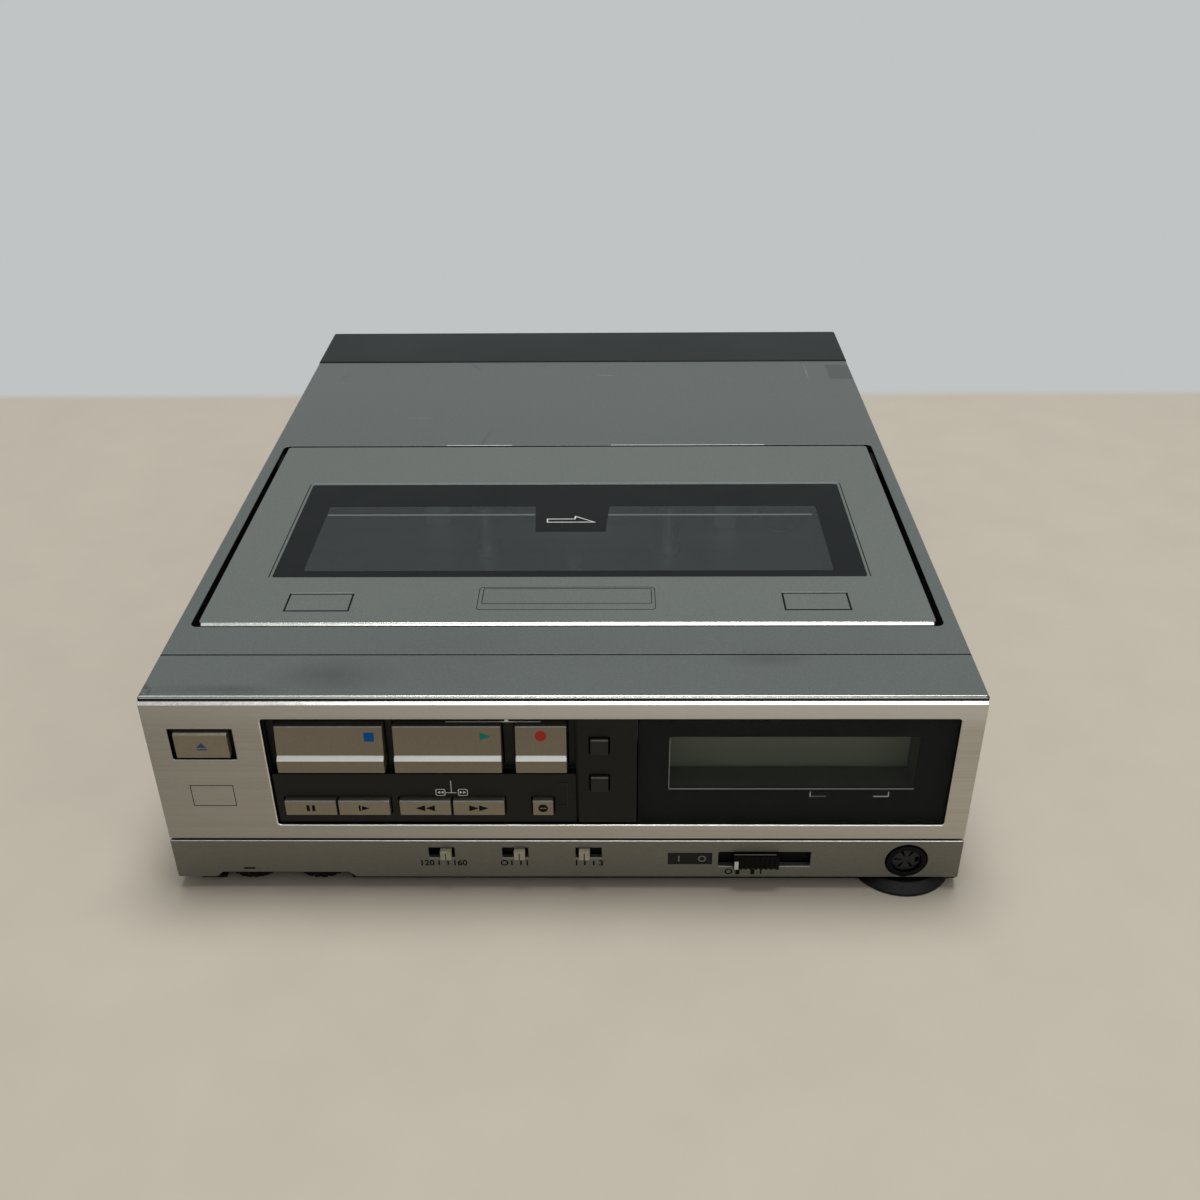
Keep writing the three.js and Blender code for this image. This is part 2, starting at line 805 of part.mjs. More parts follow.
function makeBezel() {
  const left = -innerHalf + bezel.leftEnd;
  const right = lensLeft - seat / 2;
  const bottom = windowBottom - bezel.border;
  const top = windowTop + bezel.border;
  const wellRight = dividerX - seat;
  const wellBottom = windowTop - bezel.wellHeight;
  const plate = block(left, right, bezelFront, bezelBack, bottom, top);
  const well = block(
    windowLeft + seat,
    wellRight,
    bezelFront - overrun,
    bezelFront + bezel.wellDepth,
    wellBottom,
    windowTop - seat,
  );
  const lowerStep = block(
    windowLeft + seat,
    wellRight,
    bezelFront - bezel.lowerRise,
    bezelBack,
    windowBottom + seat,
    wellBottom,
  );
  const sideStep = block(
    dividerX + seat,
    right,
    bezelFront - bezel.sideRise,
    bezelBack,
    windowBottom + seat,
    windowTop - seat,
  );
  const bosses = [left, right].flatMap((edge) =>
    [bottom, top].map((z) =>
      rod(
        "y",
        [
          edge + Math.sign(dividerX - edge) * bezel.bossRadius * 2,
          z + Math.sign(smallKeyZ + bigKey.height / 2 - z) * bezel.bossRadius,
        ],
        bezel.bossRadius,
        bezelBack - bezel.wellDepth,
        frontBoardFront - seat,
        smallSides,
      ),
    ),
  );
  const pairX = (a, b) => (smallKeys[a][0] + smallKeys[b][0]) / 2;
  const holes = [
    ...Object.values(bigKeys).map(([x, width]) => keyHole(x, bigKeyZ, width, bigKey.height)),
    keyHole(pairX("pause_key", "slow_key"), smallKeyZ, bigKey.width, smallKey.height),
    keyHole(pairX("rewind_key", "fast_forward_key"), smallKeyZ, bigKey.width, smallKey.height),
    keyHole(recordX, smallKeyZ, smallKey.insertWidth, smallKey.height),
    ...Object.values(sideKeys).map((z) => keyHole(sideKeyX, z, sideKey.width, smallKey.height)),
    keyHole(ejectCentre[0], ejectCentre[1], ejectKey.width, ejectKey.height),
  ];
  return cut(join(plate, lowerStep, sideStep, bosses), well, holes);
}
place("key_bezel", "blackMatt", makeBezel());

// A key is a profile in Y and Z with a flange behind the bezel that keeps it from falling out
function keySolid(width, height, profile) {
  const cap = sideways(polygon(profile), -width / 2, width / 2);
  const flangeHalf = height / 2 + keyFlange.overlap;
  return join(cap, block(-width / 2, width / 2, flangeFront, flangeBack, -flangeHalf, flangeHalf));
}

function bigKeyProfile() {
  const low = -bigKey.height / 2;
  return [
    [flangeFront, low],
    [flangeFront, -low],
    [bigKey.topInset, -low],
    [0, low + bigKey.ledgeHeight + bigKey.ledgeSlope],
    [-bigKey.ledgeProud, low + bigKey.ledgeHeight],
    [-bigKey.ledgeProud, low],
  ];
}

function bevelledProfile(height, proud, bevel) {
  const half = height / 2;
  return [
    [flangeFront, -half],
    [flangeFront, half],
    [-proud + bevel, half],
    [-proud, half - bevel],
    [-proud, -half],
  ];
}

for (const [name, [x, width]] of Object.entries(bigKeys)) {
  const body = keySolid(width, bigKey.height, bigKeyProfile());
  place(name, "keyPaint", body, [x, 0, bigKeyZ]);
}
for (const [name, [x, width]] of Object.entries(smallKeys)) {
  const profile = bevelledProfile(smallKey.height, smallKey.proud, smallKey.bevel);
  place(name, "keyPaint", keySolid(width, smallKey.height, profile), [x, 0, smallKeyZ]);
}
for (const [name, z] of Object.entries(sideKeys)) {
  const profile = bevelledProfile(smallKey.height, sideKey.proud, smallKey.bevel);
  place(name, "darkKey", keySolid(sideKey.width, smallKey.height, profile), [sideKeyX, 0, z]);
}
const ejectProfile = bevelledProfile(ejectKey.height, ejectKey.proud, ejectKey.bevel);
const ejectBody = keySolid(ejectKey.width, ejectKey.height, ejectProfile);
place("eject_key", "keyPaint", ejectBody, [ejectCentre[0], 0, ejectCentre[1]]);

// Board behind the keys
const keyBoard = block(
  windowLeft + seat,
  lensLeft - seat,
  frontBoardFront,
  frontBoardFront + frontBoard.thickness,
  upperBottom + frontBoard.bottomMargin,
  coverUnderside - frontBoard.topMargin,
);
place("key_board", "board", keyBoard);

// Display
function makeLens() {
  const front = lens.recess;
  const outline = roundedRectangle(
    lensLeft + seat / 2,
    windowRight - seat,
    windowBottom + seat,
    windowTop - seat,
    window_.cornerRadius,
  );
  return upright(outline, front, front + lens.thickness);
}
place("display_lens", "smokedLens", makeLens());

const tunnelFront = lens.recess + lens.thickness + seat;
const tunnelBack = tunnelFront + displayBezel.depth;
const tunnel = {
  left: lensLeft + displayBezel.left,
  right: windowRight - displayBezel.right,
  bottom: windowBottom + displayBezel.bottom,
  top: windowTop - displayBezel.top,
};
const displayFrame = cut(
  block(
    lensLeft + seat / 2,
    windowRight + bezel.border,
    tunnelFront,
    tunnelBack,
    windowBottom - bezel.border,
    windowTop + bezel.border,
  ),
  block(
    tunnel.left,
    tunnel.right,
    tunnelFront - overrun,
    tunnelBack + overrun,
    tunnel.bottom,
    tunnel.top,
  ),
);
place("display_frame", "blackMatt", displayFrame);
const glass = block(
  tunnel.left - displayGlass.border,
  tunnel.right + displayGlass.border,
  tunnelBack + seat,
  tunnelBack + seat + displayGlass.thickness,
  tunnel.bottom - displayGlass.border,
  tunnel.top + displayGlass.border,
);
place("display_glass", "displayGlass", glass);

// Slide switches: a knob through the slot on a base behind the panel
function makeSlider(knobWidth, slotWidth, slotHeight, proud, reach) {
  const halfHigh = slotHeight / 2 - slack;
  const knob = block(
    -knobWidth / 2,
    knobWidth / 2,
    -proud,
    sliderFront + slider.baseThickness / 2,
    -halfHigh,
    halfHigh,
  );
  const baseHalf = slotWidth / 2 + reach;
  const baseHigh = slotHeight / 2 + slider.baseOverlap;
  return join(knob, block(-baseHalf, baseHalf, sliderFront, sliderBack, -baseHigh, baseHigh));
}

const sliderOffsets = [slot.offset, slot.offset, -slot.offset];
slotCentres.forEach((x, i) => {
  const body = makeSlider(slot.knobWidth, slot.width, slot.height, slot.knobProud, slot.offset + seat);
  place("function_slider_" + (i + 1), "knob", body, [x + sliderOffsets[i], 0, slot.centreHeight]);
});

function makePowerKnob() {
  const halfKnob = powerSlot.knobWidth / 2;
  const ribPitch = powerSlot.knobWidth / (powerSlot.ribCount + 1);
  const grooves = Array.from({ length: powerSlot.ribCount }, (_, i) => {
    const x = -halfKnob + (i + 1) * ribPitch;
    const front = -powerSlot.knobProud;
    return block(
      x - ribPitch / 4,
      x + ribPitch / 4,
      front - overrun,
      front + powerSlot.ribDepth,
      -powerSlot.height,
      powerSlot.height,
    );
  });
  const body = makeSlider(
    powerSlot.knobWidth,
    powerSlot.width,
    powerSlot.height,
    powerSlot.knobProud,
    powerSlot.travel + seat,
  );
  return cut(body, grooves);
}
const powerKnobX = powerLeft + powerSlot.restFromLeft + powerSlot.knobWidth / 2;
place("power_slider", "darkKey", makePowerKnob(), [powerKnobX, 0, powerSlot.centreHeight]);

const carrier = block(
  slotCentres[0] - slot.width / 2 - switchBoard.overlap,
  powerCentre + powerSlot.width / 2 + powerSlot.travel + switchBoard.overlap,
  switchBoardFront,
  switchBoardFront + switchBoard.thickness,
  powerSlot.centreHeight - powerSlot.height / 2 - slider.baseOverlap,
  lowerPanel.height - seat,
);
place("switch_board", "board", carrier);

// Trimmer wheels that show through the notch under the lower panel
function makeTrimmer() {
  const wheel = rod("z", [0, 0], trimmer.radius, 0, trimmer.height);
  const bore = rod(
    "z",
    [0, 0],
    trimmer.pinRadius + seat,
    -overrun,
    trimmer.height + overrun,
    smallSides,
  );
  const grips = Array.from({ length: trimmer.gripCount }, (_, i) => {
    const angle = (i / trimmer.gripCount) * 2 * Math.PI;
    const at = [Math.cos(angle) * trimmer.radius, Math.sin(angle) * trimmer.radius];
    return rod("z", at, trimmer.gripDepth, -overrun, trimmer.height + overrun, gripSides);
  });
  return cut(wheel, bore, grips);
}
["tracking_wheel", "slow_tracking_wheel"].forEach((name, i) => {
  place(name, "blackMatt", makeTrimmer(), [...trimmerPlaces[i], keelFloor + seat]);
});

// Round socket in the lower panel
function makeSocket() {
  const front = -socket.proud;
  const barrel = rod("y", [0, 0], socket.radius, front, front + socket.depth);
  const bore = rod("y", [0, 0], socket.boreRadius, front - overrun, front + socket.boreDepth);
  const floor = front + socket.boreDepth;
  const slits = Array.from({ length: socket.slitCount }, (_, i) => {
    const slit = block(
      socket.boreRadius * slitShares[0],
      socket.boreRadius * slitShares[1],
      floor - overrun,
      floor + socket.slitDepth,
      -socket.slitWidth / 2,
      socket.slitWidth / 2,
    );
    return slit.rotate([0, (360 / socket.slitCount) * i, 0]);
  });
  return cut(barrel, bore, slits);
}
place("remote_socket", "blackMatt", makeSocket(), [socketX, 0, socket.centreHeight]);

// Rear housing: the battery bay, open to the right, and room for a socket on the left
const housingTop = cabinet.height + rearHousing.proud;
const bay = {
  left: -halfWidth + rearHousing.socketRoom + rearHousing.wall,
  front: rearStart + rearHousing.wall,
  back: cabinet.depth - rearHousing.wall,
  bottom: rearHousing.wall,
  top: housingTop - rearHousing.wall,
};
const doorPivot = [halfWidth - door.thickness / 2, bay.bottom + door.pivotHeight];
const cameraSocketAt = [(bay.front + bay.back) / 2, (bay.bottom + bay.top) / 2];

function makeRearHousing() {
  const r = rearHousing.edgeRadius;
  const shell = upright(
    roundedRectangle(-halfWidth, halfWidth, 0, housingTop, r),
    rearStart,
    cabinet.depth,
  );
  const batteryRoom = block(bay.left, halfWidth + overrun, bay.front, bay.back, bay.bottom, bay.top);
  const socketRoom = block(
    -halfWidth + rearHousing.wall,
    bay.left - rearHousing.wall,
    bay.front,
    bay.back,
    bay.bottom,
    bay.top,
  );
  const socketHole = rod(
    "x",
    cameraSocketAt,
    cameraSocket.radius + seat,
    -halfWidth - overrun,
    -halfWidth + rearHousing.wall + overrun,
  );
  const pinHoles = rod(
    "y",
    doorPivot,
    door.pinRadius + seat,
    bay.front - door.pinLength,
    bay.back + door.pinLength,
    smallSides,
  );
  return cut(shell, batteryRoom, socketRoom, socketHole, pinHoles);
}
place("rear_housing", "blackGloss", makeRearHousing());

function makeBattery() {
  const play = battery.play;
  const right = halfWidth - door.thickness - battery.endRoom;
  const pack = block(
    bay.left + play,
    right,
    bay.front + play,
    bay.back - play,
    bay.bottom + play,
    bay.top - play,
  );
  const contactY = (bay.front + bay.back) / 2;
  const contacts = [-1, 1].map((side) => {
    const y = contactY + side * battery.contactWidth;
    return block(
      bay.left + play - overrun,
      bay.left + play + battery.contactDepth,
      y - battery.contactWidth / 4,
      y + battery.contactWidth / 4,
      cameraSocketAt[1] - battery.contactHeight / 2,
      cameraSocketAt[1] + battery.contactHeight / 2,
    );
  });
  return cut(pack, contacts);
}
place("battery_pack", "battery", makeBattery());

function makeBatteryDoor() {
  const panel = block(
    halfWidth - door.thickness,
    halfWidth,
    bay.front + seat,
    bay.back - seat,
    bay.bottom + seat,
    bay.top - seat,
  );
  const ends = door.pinLength - seat;
  return join(
    panel,
    rod("y", doorPivot, door.pinRadius, bay.front - ends, bay.back + ends, smallSides),
  );
}
place("battery_door", "blackMatt", makeBatteryDoor());

function makeCameraSocket() {
  const start = -halfWidth;
  const barrel = rod("x", cameraSocketAt, cameraSocket.radius, start, start + cameraSocket.depth);
  const inside = start + rearHousing.wall + seat;
  const flange = rod(
    "x",
    cameraSocketAt,
    cameraSocket.radius + cameraSocket.flange,
    inside,
    inside + cameraSocket.flangeThickness,
  );
  const bore = rod(
    "x",
    cameraSocketAt,
    cameraSocket.radius - cameraSocket.rim,
    start - overrun,
    start + cameraSocket.boreDepth,
  );
  return cut(join(barrel, flange), bore);
}
place("camera_socket", "blackMatt", makeCameraSocket());

// Lid, its window, the holder and their hinge shaft
const paneHalf = lidWindow.width / 2;
const paneFront = lid.front + lidWindow.front;
const paneBack = paneFront + lidWindow.depth;

function makeLid() {
  const half = lid.width / 2;
  const plate = flat(
    roundedRectangle(-half, half, lid.front + lid.bevel, lidRear, lid.cornerRadius - lid.bevel),
    lidUnderside,
    lidTop,
  );
  const nose = sideways(
    polygon([
      [lid.front + lid.cornerRadius, lidUnderside],
      [lid.front + lid.cornerRadius, lidTop],
      [lid.front + lid.bevel, lidTop],
      [lid.front, lidTop - lid.bevel],
      [lid.front, lidUnderside],
    ]),
    -half + lid.bevel,
    half - lid.bevel,
  );
  const opening = flat(
    roundedRectangle(
      -paneHalf - seat,
      paneHalf + seat,
      paneFront - seat,
      paneBack + seat,
      lidWindow.cornerRadius,
    ),
    lidUnderside - overrun,
    lidTop + overrun,
  );
  const sides = [-1, 1].flatMap((side) => {
    const outer = side * half;
    const inner = side * (half - lid.skirtThickness);
    const lugInner = side * (half - hinge.lugThickness);
    const skirt = block(
      Math.min(outer, inner),
      Math.max(outer, inner),
      lid.front + lid.cornerRadius,
      hingeY,
      lidUnderside - lid.skirtHeight,
      lidUnderside + lid.thickness / 2,
    );
    const lug = rod(
      "x",
      [hingeY, hingeZ],
      hinge.lugRadius,
      Math.min(outer, lugInner),
      Math.max(outer, lugInner),
      smallSides,
    );
    return [skirt, lug];
  });
  const catchPlate = block(
    -latch.width / 2,
    latch.width / 2,
    lid.front + lid.cornerRadius,
    lid.front + lid.cornerRadius + lid.skirtThickness,
    lidUnderside - latch.catchHeight,
    lidUnderside + lid.thickness / 2,
  );
  const hookSlot = block(
    -latch.width / 4 - slack,
    latch.width / 4 + slack,
    lid.front,
    lid.front + lid.cornerRadius + lid.skirtThickness + overrun,
    lidUnderside - latch.catchHeight + lid.skirtThickness - slack,
    lidUnderside - latch.catchHeight + lid.skirtThickness + latch.hookHeight + slack,
  );
  const shaftHole = rod(
    "x",
    [hingeY, hingeZ],
    hinge.pinRadius + seat,
    -half - overrun,
    half + overrun,
    smallSides,
  );
  return cut(join(plate, nose, sides, catchPlate), opening, shaftHole, hookSlot);
}
place("lid", "cabinetPaint", makeLid());

function makePane() {
  const pane = flat(
    roundedRectangle(-paneHalf, paneHalf, paneFront, paneBack, lidWindow.cornerRadius),
    paneUnderside + lidWindow.thickness / 2,
    lidTop - lidWindow.sink,
  );
  const reach = lidWindow.flange;
  const flange = block(
    -paneHalf - reach,
    paneHalf + reach,
    paneFront - reach,
    paneBack + reach,
    paneUnderside,
    paneUnderside + lidWindow.thickness,
  );
  return join(pane, flange);
}
place("lid_window", "smokedLens", makePane());

function makeHolder() {
  const sheet = holder.sheet;
  const inner = holderHalf - sheet;
  const top = block(
    -holderHalf,
    holderHalf,
    holderFront,
    hingeY - hinge.lugRadius - slack,
    holderTop - sheet,
    holderTop,
  );
  const light = block(
    -holderHalf + holder.flange,
    holderHalf - holder.flange,
    holderFront + holder.frontBar,
    hingeY - hinge.lugRadius - slack - holder.crossBar,
    holderTop - sheet - overrun,
    holderTop + overrun,
  );
  const walls = [-1, 1].flatMap((side) => {
    const low = Math.min(side * inner, side * holderHalf);
    const high = Math.max(side * inner, side * holderHalf);
    const ledge = side * (inner - holder.flange);
    return [
      block(low, high, holderFront, holderBack, holderBottom, holderTop - hinge.pinRadius * 2),
      block(low, high, holderFront, hingeY - hinge.lugRadius - slack, holderBottom, holderTop),
      block(
        Math.min(ledge, side * holderHalf),
        Math.max(ledge, side * holderHalf),
        holderFront,
        holderBack,
        holderBottom,
        holderBottom + sheet,
      ),
    ];
  });
  return join(cut(top, light), walls);
}
place("cassette_holder", "steel", makeHolder());

const earInner = lid.width / 2 + (openingHalf - lid.width / 2) / 2;
const shaftHalf = earInner + deck.earThickness;
const hingeShaft = rod("x", [hingeY, hingeZ], hinge.pinRadius, -shaftHalf, shaftHalf, smallSides);
place("lid_hinge_shaft", "steel", hingeShaft);

// Latch slider that the eject key pushes back to free the lid
const hookZ = lidUnderside - latch.catchHeight + lid.skirtThickness;

function makeLatch() {
  const front = lid.front - latch.depth - slack;
  const body = block(
    -latch.width / 2,
    latch.width / 2,
    front,
    front + latch.depth,
    hookZ - latch.height,
    hookZ + latch.hookHeight,
  );
  const hook = block(
    -latch.width / 4,
    latch.width / 4,
    front + latch.depth / 2,
    lid.front + lid.cornerRadius - seat,
    hookZ,
    hookZ + latch.hookHeight,
  );
  return join(body, hook);
}

// Deck plate with its ears, slots, bearings and the lamp post
const reelPlaces = [-1, 1].map((side) => [(side * reel.spacing) / 2, mouthY - reel.fromMouth]);
const idlerPivot = [0, deckFront + idler.pivotFromFront];
const drumAt = [0, mouthY + drum.behindMouth];
const capstanAt = [capstan.x, mouthY + capstan.behindMouth];
const pinchPivot = [pinch.pivotX, mouthY + pinch.pivotBehindMouth];

function guideSlot(side) {
  const from = new THREE.Vector2(side * guide.restX, mouthY - guide.restBeforeMouth);
  const to = new THREE.Vector2(side * guide.loadedX, mouthY + guide.loadedBehindMouth);
  const along = to.clone().sub(from).normalize();
  const across = new THREE.Vector2(-along.y, along.x).multiplyScalar(guide.slotWidth / 2 + slack);
  const start = from.clone().addScaledVector(along, -guide.shoeRadius);
  const end = to.clone().addScaledVector(along, guide.shoeRadius);
  const corners = [
    start.clone().add(across),
    start.clone().sub(across),
    end.clone().sub(across),
    end.clone().add(across),
  ];
  const ordered = corners.map((corner) => [corner.x, corner.y]);
  return flat(polygon(ordered), deckBottom - overrun, deckTop + overrun);
}

function makeDeck() {
  const plate = block(-deckHalf, deckHalf, deckFront, deckBack, deckBottom, deckTop);
  const ears = [-1, 1].map((side) => {
    const a = side * earInner;
    const b = side * (earInner + deck.earThickness);
    const ear = block(
      Math.min(a, b),
      Math.max(a, b),
      hingeY - deck.earWidth / 2,
      hingeY + deck.earWidth / 2,
      deckBottom,
      coverUnderside - seat,
    );
    const tab = side * (deckHalf - deck.earWidth);
    const bridge = block(
      Math.min(tab, b),
      Math.max(tab, b),
      hingeY - deck.earWidth / 2,
      hingeY + deck.earWidth / 2,
      deckBottom,
      deckTop,
    );
    return join(ear, bridge);
  });
  const through = (at, radius) => rod("z", at, radius + slack, deckBottom - overrun, deckTop + overrun);
  const holes = [
    ...reelPlaces.map((at) => through(at, reel.axleRadius)),
    through(idlerPivot, reelMotor.shaftRadius),
    through(capstanAt, capstan.shaftRadius),
    through(drumAt, drum.axleRadius),
    guideSlot(-1),
    guideSlot(1),
  ];
  const shaftHole = rod(
    "x",
    [hingeY, hingeZ],
    hinge.pinRadius + seat,
    -halfWidth,
    halfWidth,
    smallSides,
  );
  const lampY = mouthY - lampPost.fromMouth;
  const lampTop = deckTop + lampPost.height;
  const lamp = block(
    -lampPost.width / 2,
    lampPost.width / 2,
    lampY - lampPost.depth / 2,
    lampY + lampPost.depth / 2,
    deckTop - deck.thickness / 2,
    lampTop,
  );
  const plateTop = lampTop - lampPost.plateDrop;
  const stemStart = lampY - lampPost.depth / 2;
  const stem = block(
    -lampPost.stemWidth / 2,
    lampPost.stemWidth / 2,
    stemStart - lampPost.stemLength,
    lampY,
    plateTop - lampPost.plateHeight,
    plateTop,
  );
  const barFront = stemStart - lampPost.barDepth * 2;
  const bar = block(
    -lampPost.barWidth / 2,
    lampPost.barWidth / 2,
    barFront,
    barFront + lampPost.barDepth,
    plateTop - lampPost.plateHeight,
    plateTop,
  );
  const latchFront = lid.front - slack - latch.depth;
  const shelfTop = hookZ - latch.height - seat;
  const bracketFront = latchFront - bigKey.travel - seat - deck.thickness;
  const bracket = join(
    block(-latch.width, latch.width, bracketFront, bracketFront + deck.thickness, deckBottom, shelfTop),
    block(
      -latch.width,
      latch.width,
      bracketFront,
      latchFront + latch.depth,
      shelfTop - deck.thickness,
      shelfTop,
    ),
    block(-latch.width, latch.width, bracketFront, deckFront + deck.thickness, deckBottom, deckTop),
  );
  const pivotPost = rod(
    "z",
    pinchPivot,
    pinch.axleRadius,
    deckBottom,
    deckTop + pinch.rollerHeight,
    smallSides,
  );
  return cut(join(plate, ears, lamp, stem, bar, bracket, pivotPost), holes, shaftHole);
}
place("deck_frame", "steel", makeDeck());
place("lid_latch", "blackMatt", makeLatch());

// Reels, idler and their motor
function makeReel() {
  const table = rod("z", [0, 0], reel.radius, 0, reel.thickness);
  const hub = rod("z", [0, 0], reel.hubRadius, 0, reel.thickness + reel.hubHeight, smallSides);
  const top = reel.thickness + reel.hubHeight + reel.spindleHeight;
  const spindle = rod("z", [0, 0], reel.spindleRadius, 0, top, smallSides);
  const axle = rod(
    "z",
    [0, 0],
    reel.axleRadius,
    -seat - deck.thickness - seat,
    reel.thickness / 2,
    smallSides,
  );
  const vaneHalf = reel.vaneWidth / 2;
  const vanes = Array.from({ length: reel.vaneCount }, (_, i) => {
    const vane = block(0, reel.vaneReach, -vaneHalf, vaneHalf, reel.thickness / 2, top - reel.vaneWidth);
    return vane.rotate([0, 0, (360 / reel.vaneCount) * i]);
  });
  return join(table, hub, spindle, axle, vanes);
}
place("supply_reel", "whitePlastic", makeReel(), [...reelPlaces[0], deckTop + seat]);
place("takeup_reel", "whitePlastic", makeReel(), [...reelPlaces[1], deckTop + seat]);

const armZ = deckTop + seat;
const idlerZ = armZ + idler.armThickness + seat;
function makeIdlerArm() {
  const width = idler.armWidth;
  const bar = block(-width / 2, width / 2, 0, idler.armLength, 0, idler.armThickness);
  const thick = idler.armThickness;
  const ends = [0, idler.armLength].map((y) => rod("z", [0, y], width / 2, 0, thick, smallSides));
  const axle = rod(
    "z",
    [0, idler.armLength],
    reel.axleRadius,
    0,
    idler.armThickness + seat + idler.thickness,
    smallSides,
  );
  const bore = rod(
    "z",
    [0, 0],
    reelMotor.shaftRadius + seat,
    -overrun,
    idler.armThickness + overrun,
    smallSides,
  );
  return cut(join(bar, ends, axle), bore);
}
place("idler_arm", "steel", makeIdlerArm(), [...idlerPivot, armZ]);
const idlerWheel = cut(
  rod("z", [0, 0], idler.radius, 0, idler.thickness),
  rod("z", [0, 0], reel.axleRadius + seat, -overrun, idler.thickness + overrun, smallSides),
);
place("idler_wheel", "rubber", idlerWheel, [idlerPivot[0], idlerPivot[1] + idler.armLength, idlerZ]);

function makeReelMotor() {
  const top = deckBottom - seat;
  const body = rod("z", idlerPivot, reelMotor.radius, top - reelMotor.height, top);
  const shaftTop = idlerZ + idler.thickness;
  return join(
    body,
    rod("z", idlerPivot, reelMotor.shaftRadius, top - reelMotor.height / 2, shaftTop, smallSides),
  );
}
place("reel_motor", "steel", makeReelMotor());

// Head drum: both halves tilt together on the level flange of the lower one
const drumGroup = new THREE.Group();
drumGroup.position.set(...drumAt, deckTop + seat);
drumGroup.rotation.x = THREE.MathUtils.degToRad(-drum.tilt);
assembly.add(drumGroup);
const drumRise = drum.flangeHeight + drum.radius * Math.sin(THREE.MathUtils.degToRad(drum.tilt));
const drumMiddle = drumRise + drum.lowerHeight - drum.flangeHeight;

function makeLowerDrum() {
  const barrel = rod("z", [0, 0], drum.radius, 0, drumMiddle);
  const axle = rod(
    "z",
    [0, 0],
    drum.axleRadius,
    drumMiddle / 2,
    drumMiddle + drum.upperHeight / 2,
    smallSides,
  );
  const flange = rod("z", [0, 0], drum.flangeRadius, 0, drum.flangeHeight).rotate([drum.tilt, 0, 0]);
  const below = block(
    -cabinet.width,
    cabinet.width,
    -cabinet.width,
    cabinet.width,
    -cabinet.height,
    0,
  ).rotate([drum.tilt, 0, 0]);
  return cut(join(barrel, axle, flange), below);
}
place("lower_drum", "machined", makeLowerDrum(), [0, 0, 0], drumGroup);

function makeUpperDrum() {
  const rotor = rod("z", [0, 0], drum.radius, 0, drum.upperHeight);
  const hub = rod(
    "z",
    [0, 0],
    drum.hubRadius,
    drum.upperHeight / 2,
    drum.upperHeight + drum.hubHeight,
    smallSides,
  );
  const bore = rod(
    "z",
    [0, 0],
    drum.axleRadius + seat,
    -overrun,
    drum.upperHeight / 2 + seat,
    smallSides,
  );
  const notches = [0, 1].map((i) =>
    block(
      drum.radius - drum.headNotch,
      drum.radius + overrun,
      -drum.headNotch / 2,
      drum.headNotch / 2,
      -overrun,
      drum.headNotch,
    ).rotate([0, 0, 180 * i]),
  );
  return cut(join(rotor, hub), bore, notches);
}
place("upper_drum", "machined", makeUpperDrum(), [0, 0, drumMiddle + drum.split], drumGroup);

// Tape guides that draw the tape round the drum
function makeGuide() {
  const base = rod("z", [0, 0], guide.baseRadius, 0, guide.baseHeight, smallSides);
  const post = rod("z", [0, 0], guide.postRadius, 0, guide.baseHeight + guide.postHeight, smallSides);
  const flangeTop = guide.baseHeight + guide.postHeight;
  const flange = rod(
    "z",
    [0, 0],
    guide.flangeRadius,
    flangeTop - guide.flangeHeight,
    flangeTop,
    smallSides,
  );
  const tongue = rod(
    "z",
    [0, 0],
    guide.slotWidth / 2,
    -deck.thickness - seat * 2,
    guide.baseHeight / 2,
    smallSides,
  );
  const shoeTop = -deck.thickness - seat * 2;
  const shoe = rod("z", [0, 0], guide.shoeRadius, shoeTop - guide.shoeHeight, shoeTop, smallSides);
  return join(base, post, flange, tongue, shoe);
}
[
  ["entry_guide", -1],
  ["exit_guide", 1],
].forEach(([name, side]) => {
  place(
    name,
    "machined",
    makeGuide(),
    [side * guide.restX, mouthY - guide.restBeforeMouth, deckTop + seat],
  );
});

// Capstan with its flywheel under the deck, and its flat motor
const flywheelTop = deckBottom - capstan.belowDeck;
function makeCapstan() {
  const bottom = flywheelTop - capstan.flywheelHeight;
  const flywheel = rod("z", [0, 0], capstan.flywheelRadius, bottom, flywheelTop);
  return join(
    flywheel,
    rod("z", [0, 0], capstan.shaftRadius, bottom, deckTop + capstan.shaftHeight, smallSides),
  );
}
place("capstan", "machined", makeCapstan(), [...capstanAt, 0]);
const statorTop = flywheelTop - capstan.flywheelHeight - seat;
const stator = rod("z", capstanAt, capstanMotor.radius, boardTop + seat, statorTop);
place("capstan_motor", "castMetal", stator);

// Pinch roller on its arm, parked away from the capstan
const contactReach = pinch.rollerRadius + capstan.shaftRadius + pinch.pressGap;
const contactAngle = THREE.MathUtils.degToRad(pinch.contactAngle);
const contactAt = [
  capstanAt[0] + contactReach * Math.cos(contactAngle),
  capstanAt[1] + contactReach * Math.sin(contactAngle),
];
const armReach = Math.hypot(contactAt[0] - pinchPivot[0], contactAt[1] - pinchPivot[1]);
const pressedAngle = Math.atan2(contactAt[1] - pinchPivot[1], contactAt[0] - pinchPivot[0]);
const parkedAngle = pressedAngle + THREE.MathUtils.degToRad(pinch.swing);

const pinchGroup = new THREE.Group();
pinchGroup.position.set(...pinchPivot, deckTop + seat);
pinchGroup.rotation.z = parkedAngle;
assembly.add(pinchGroup);

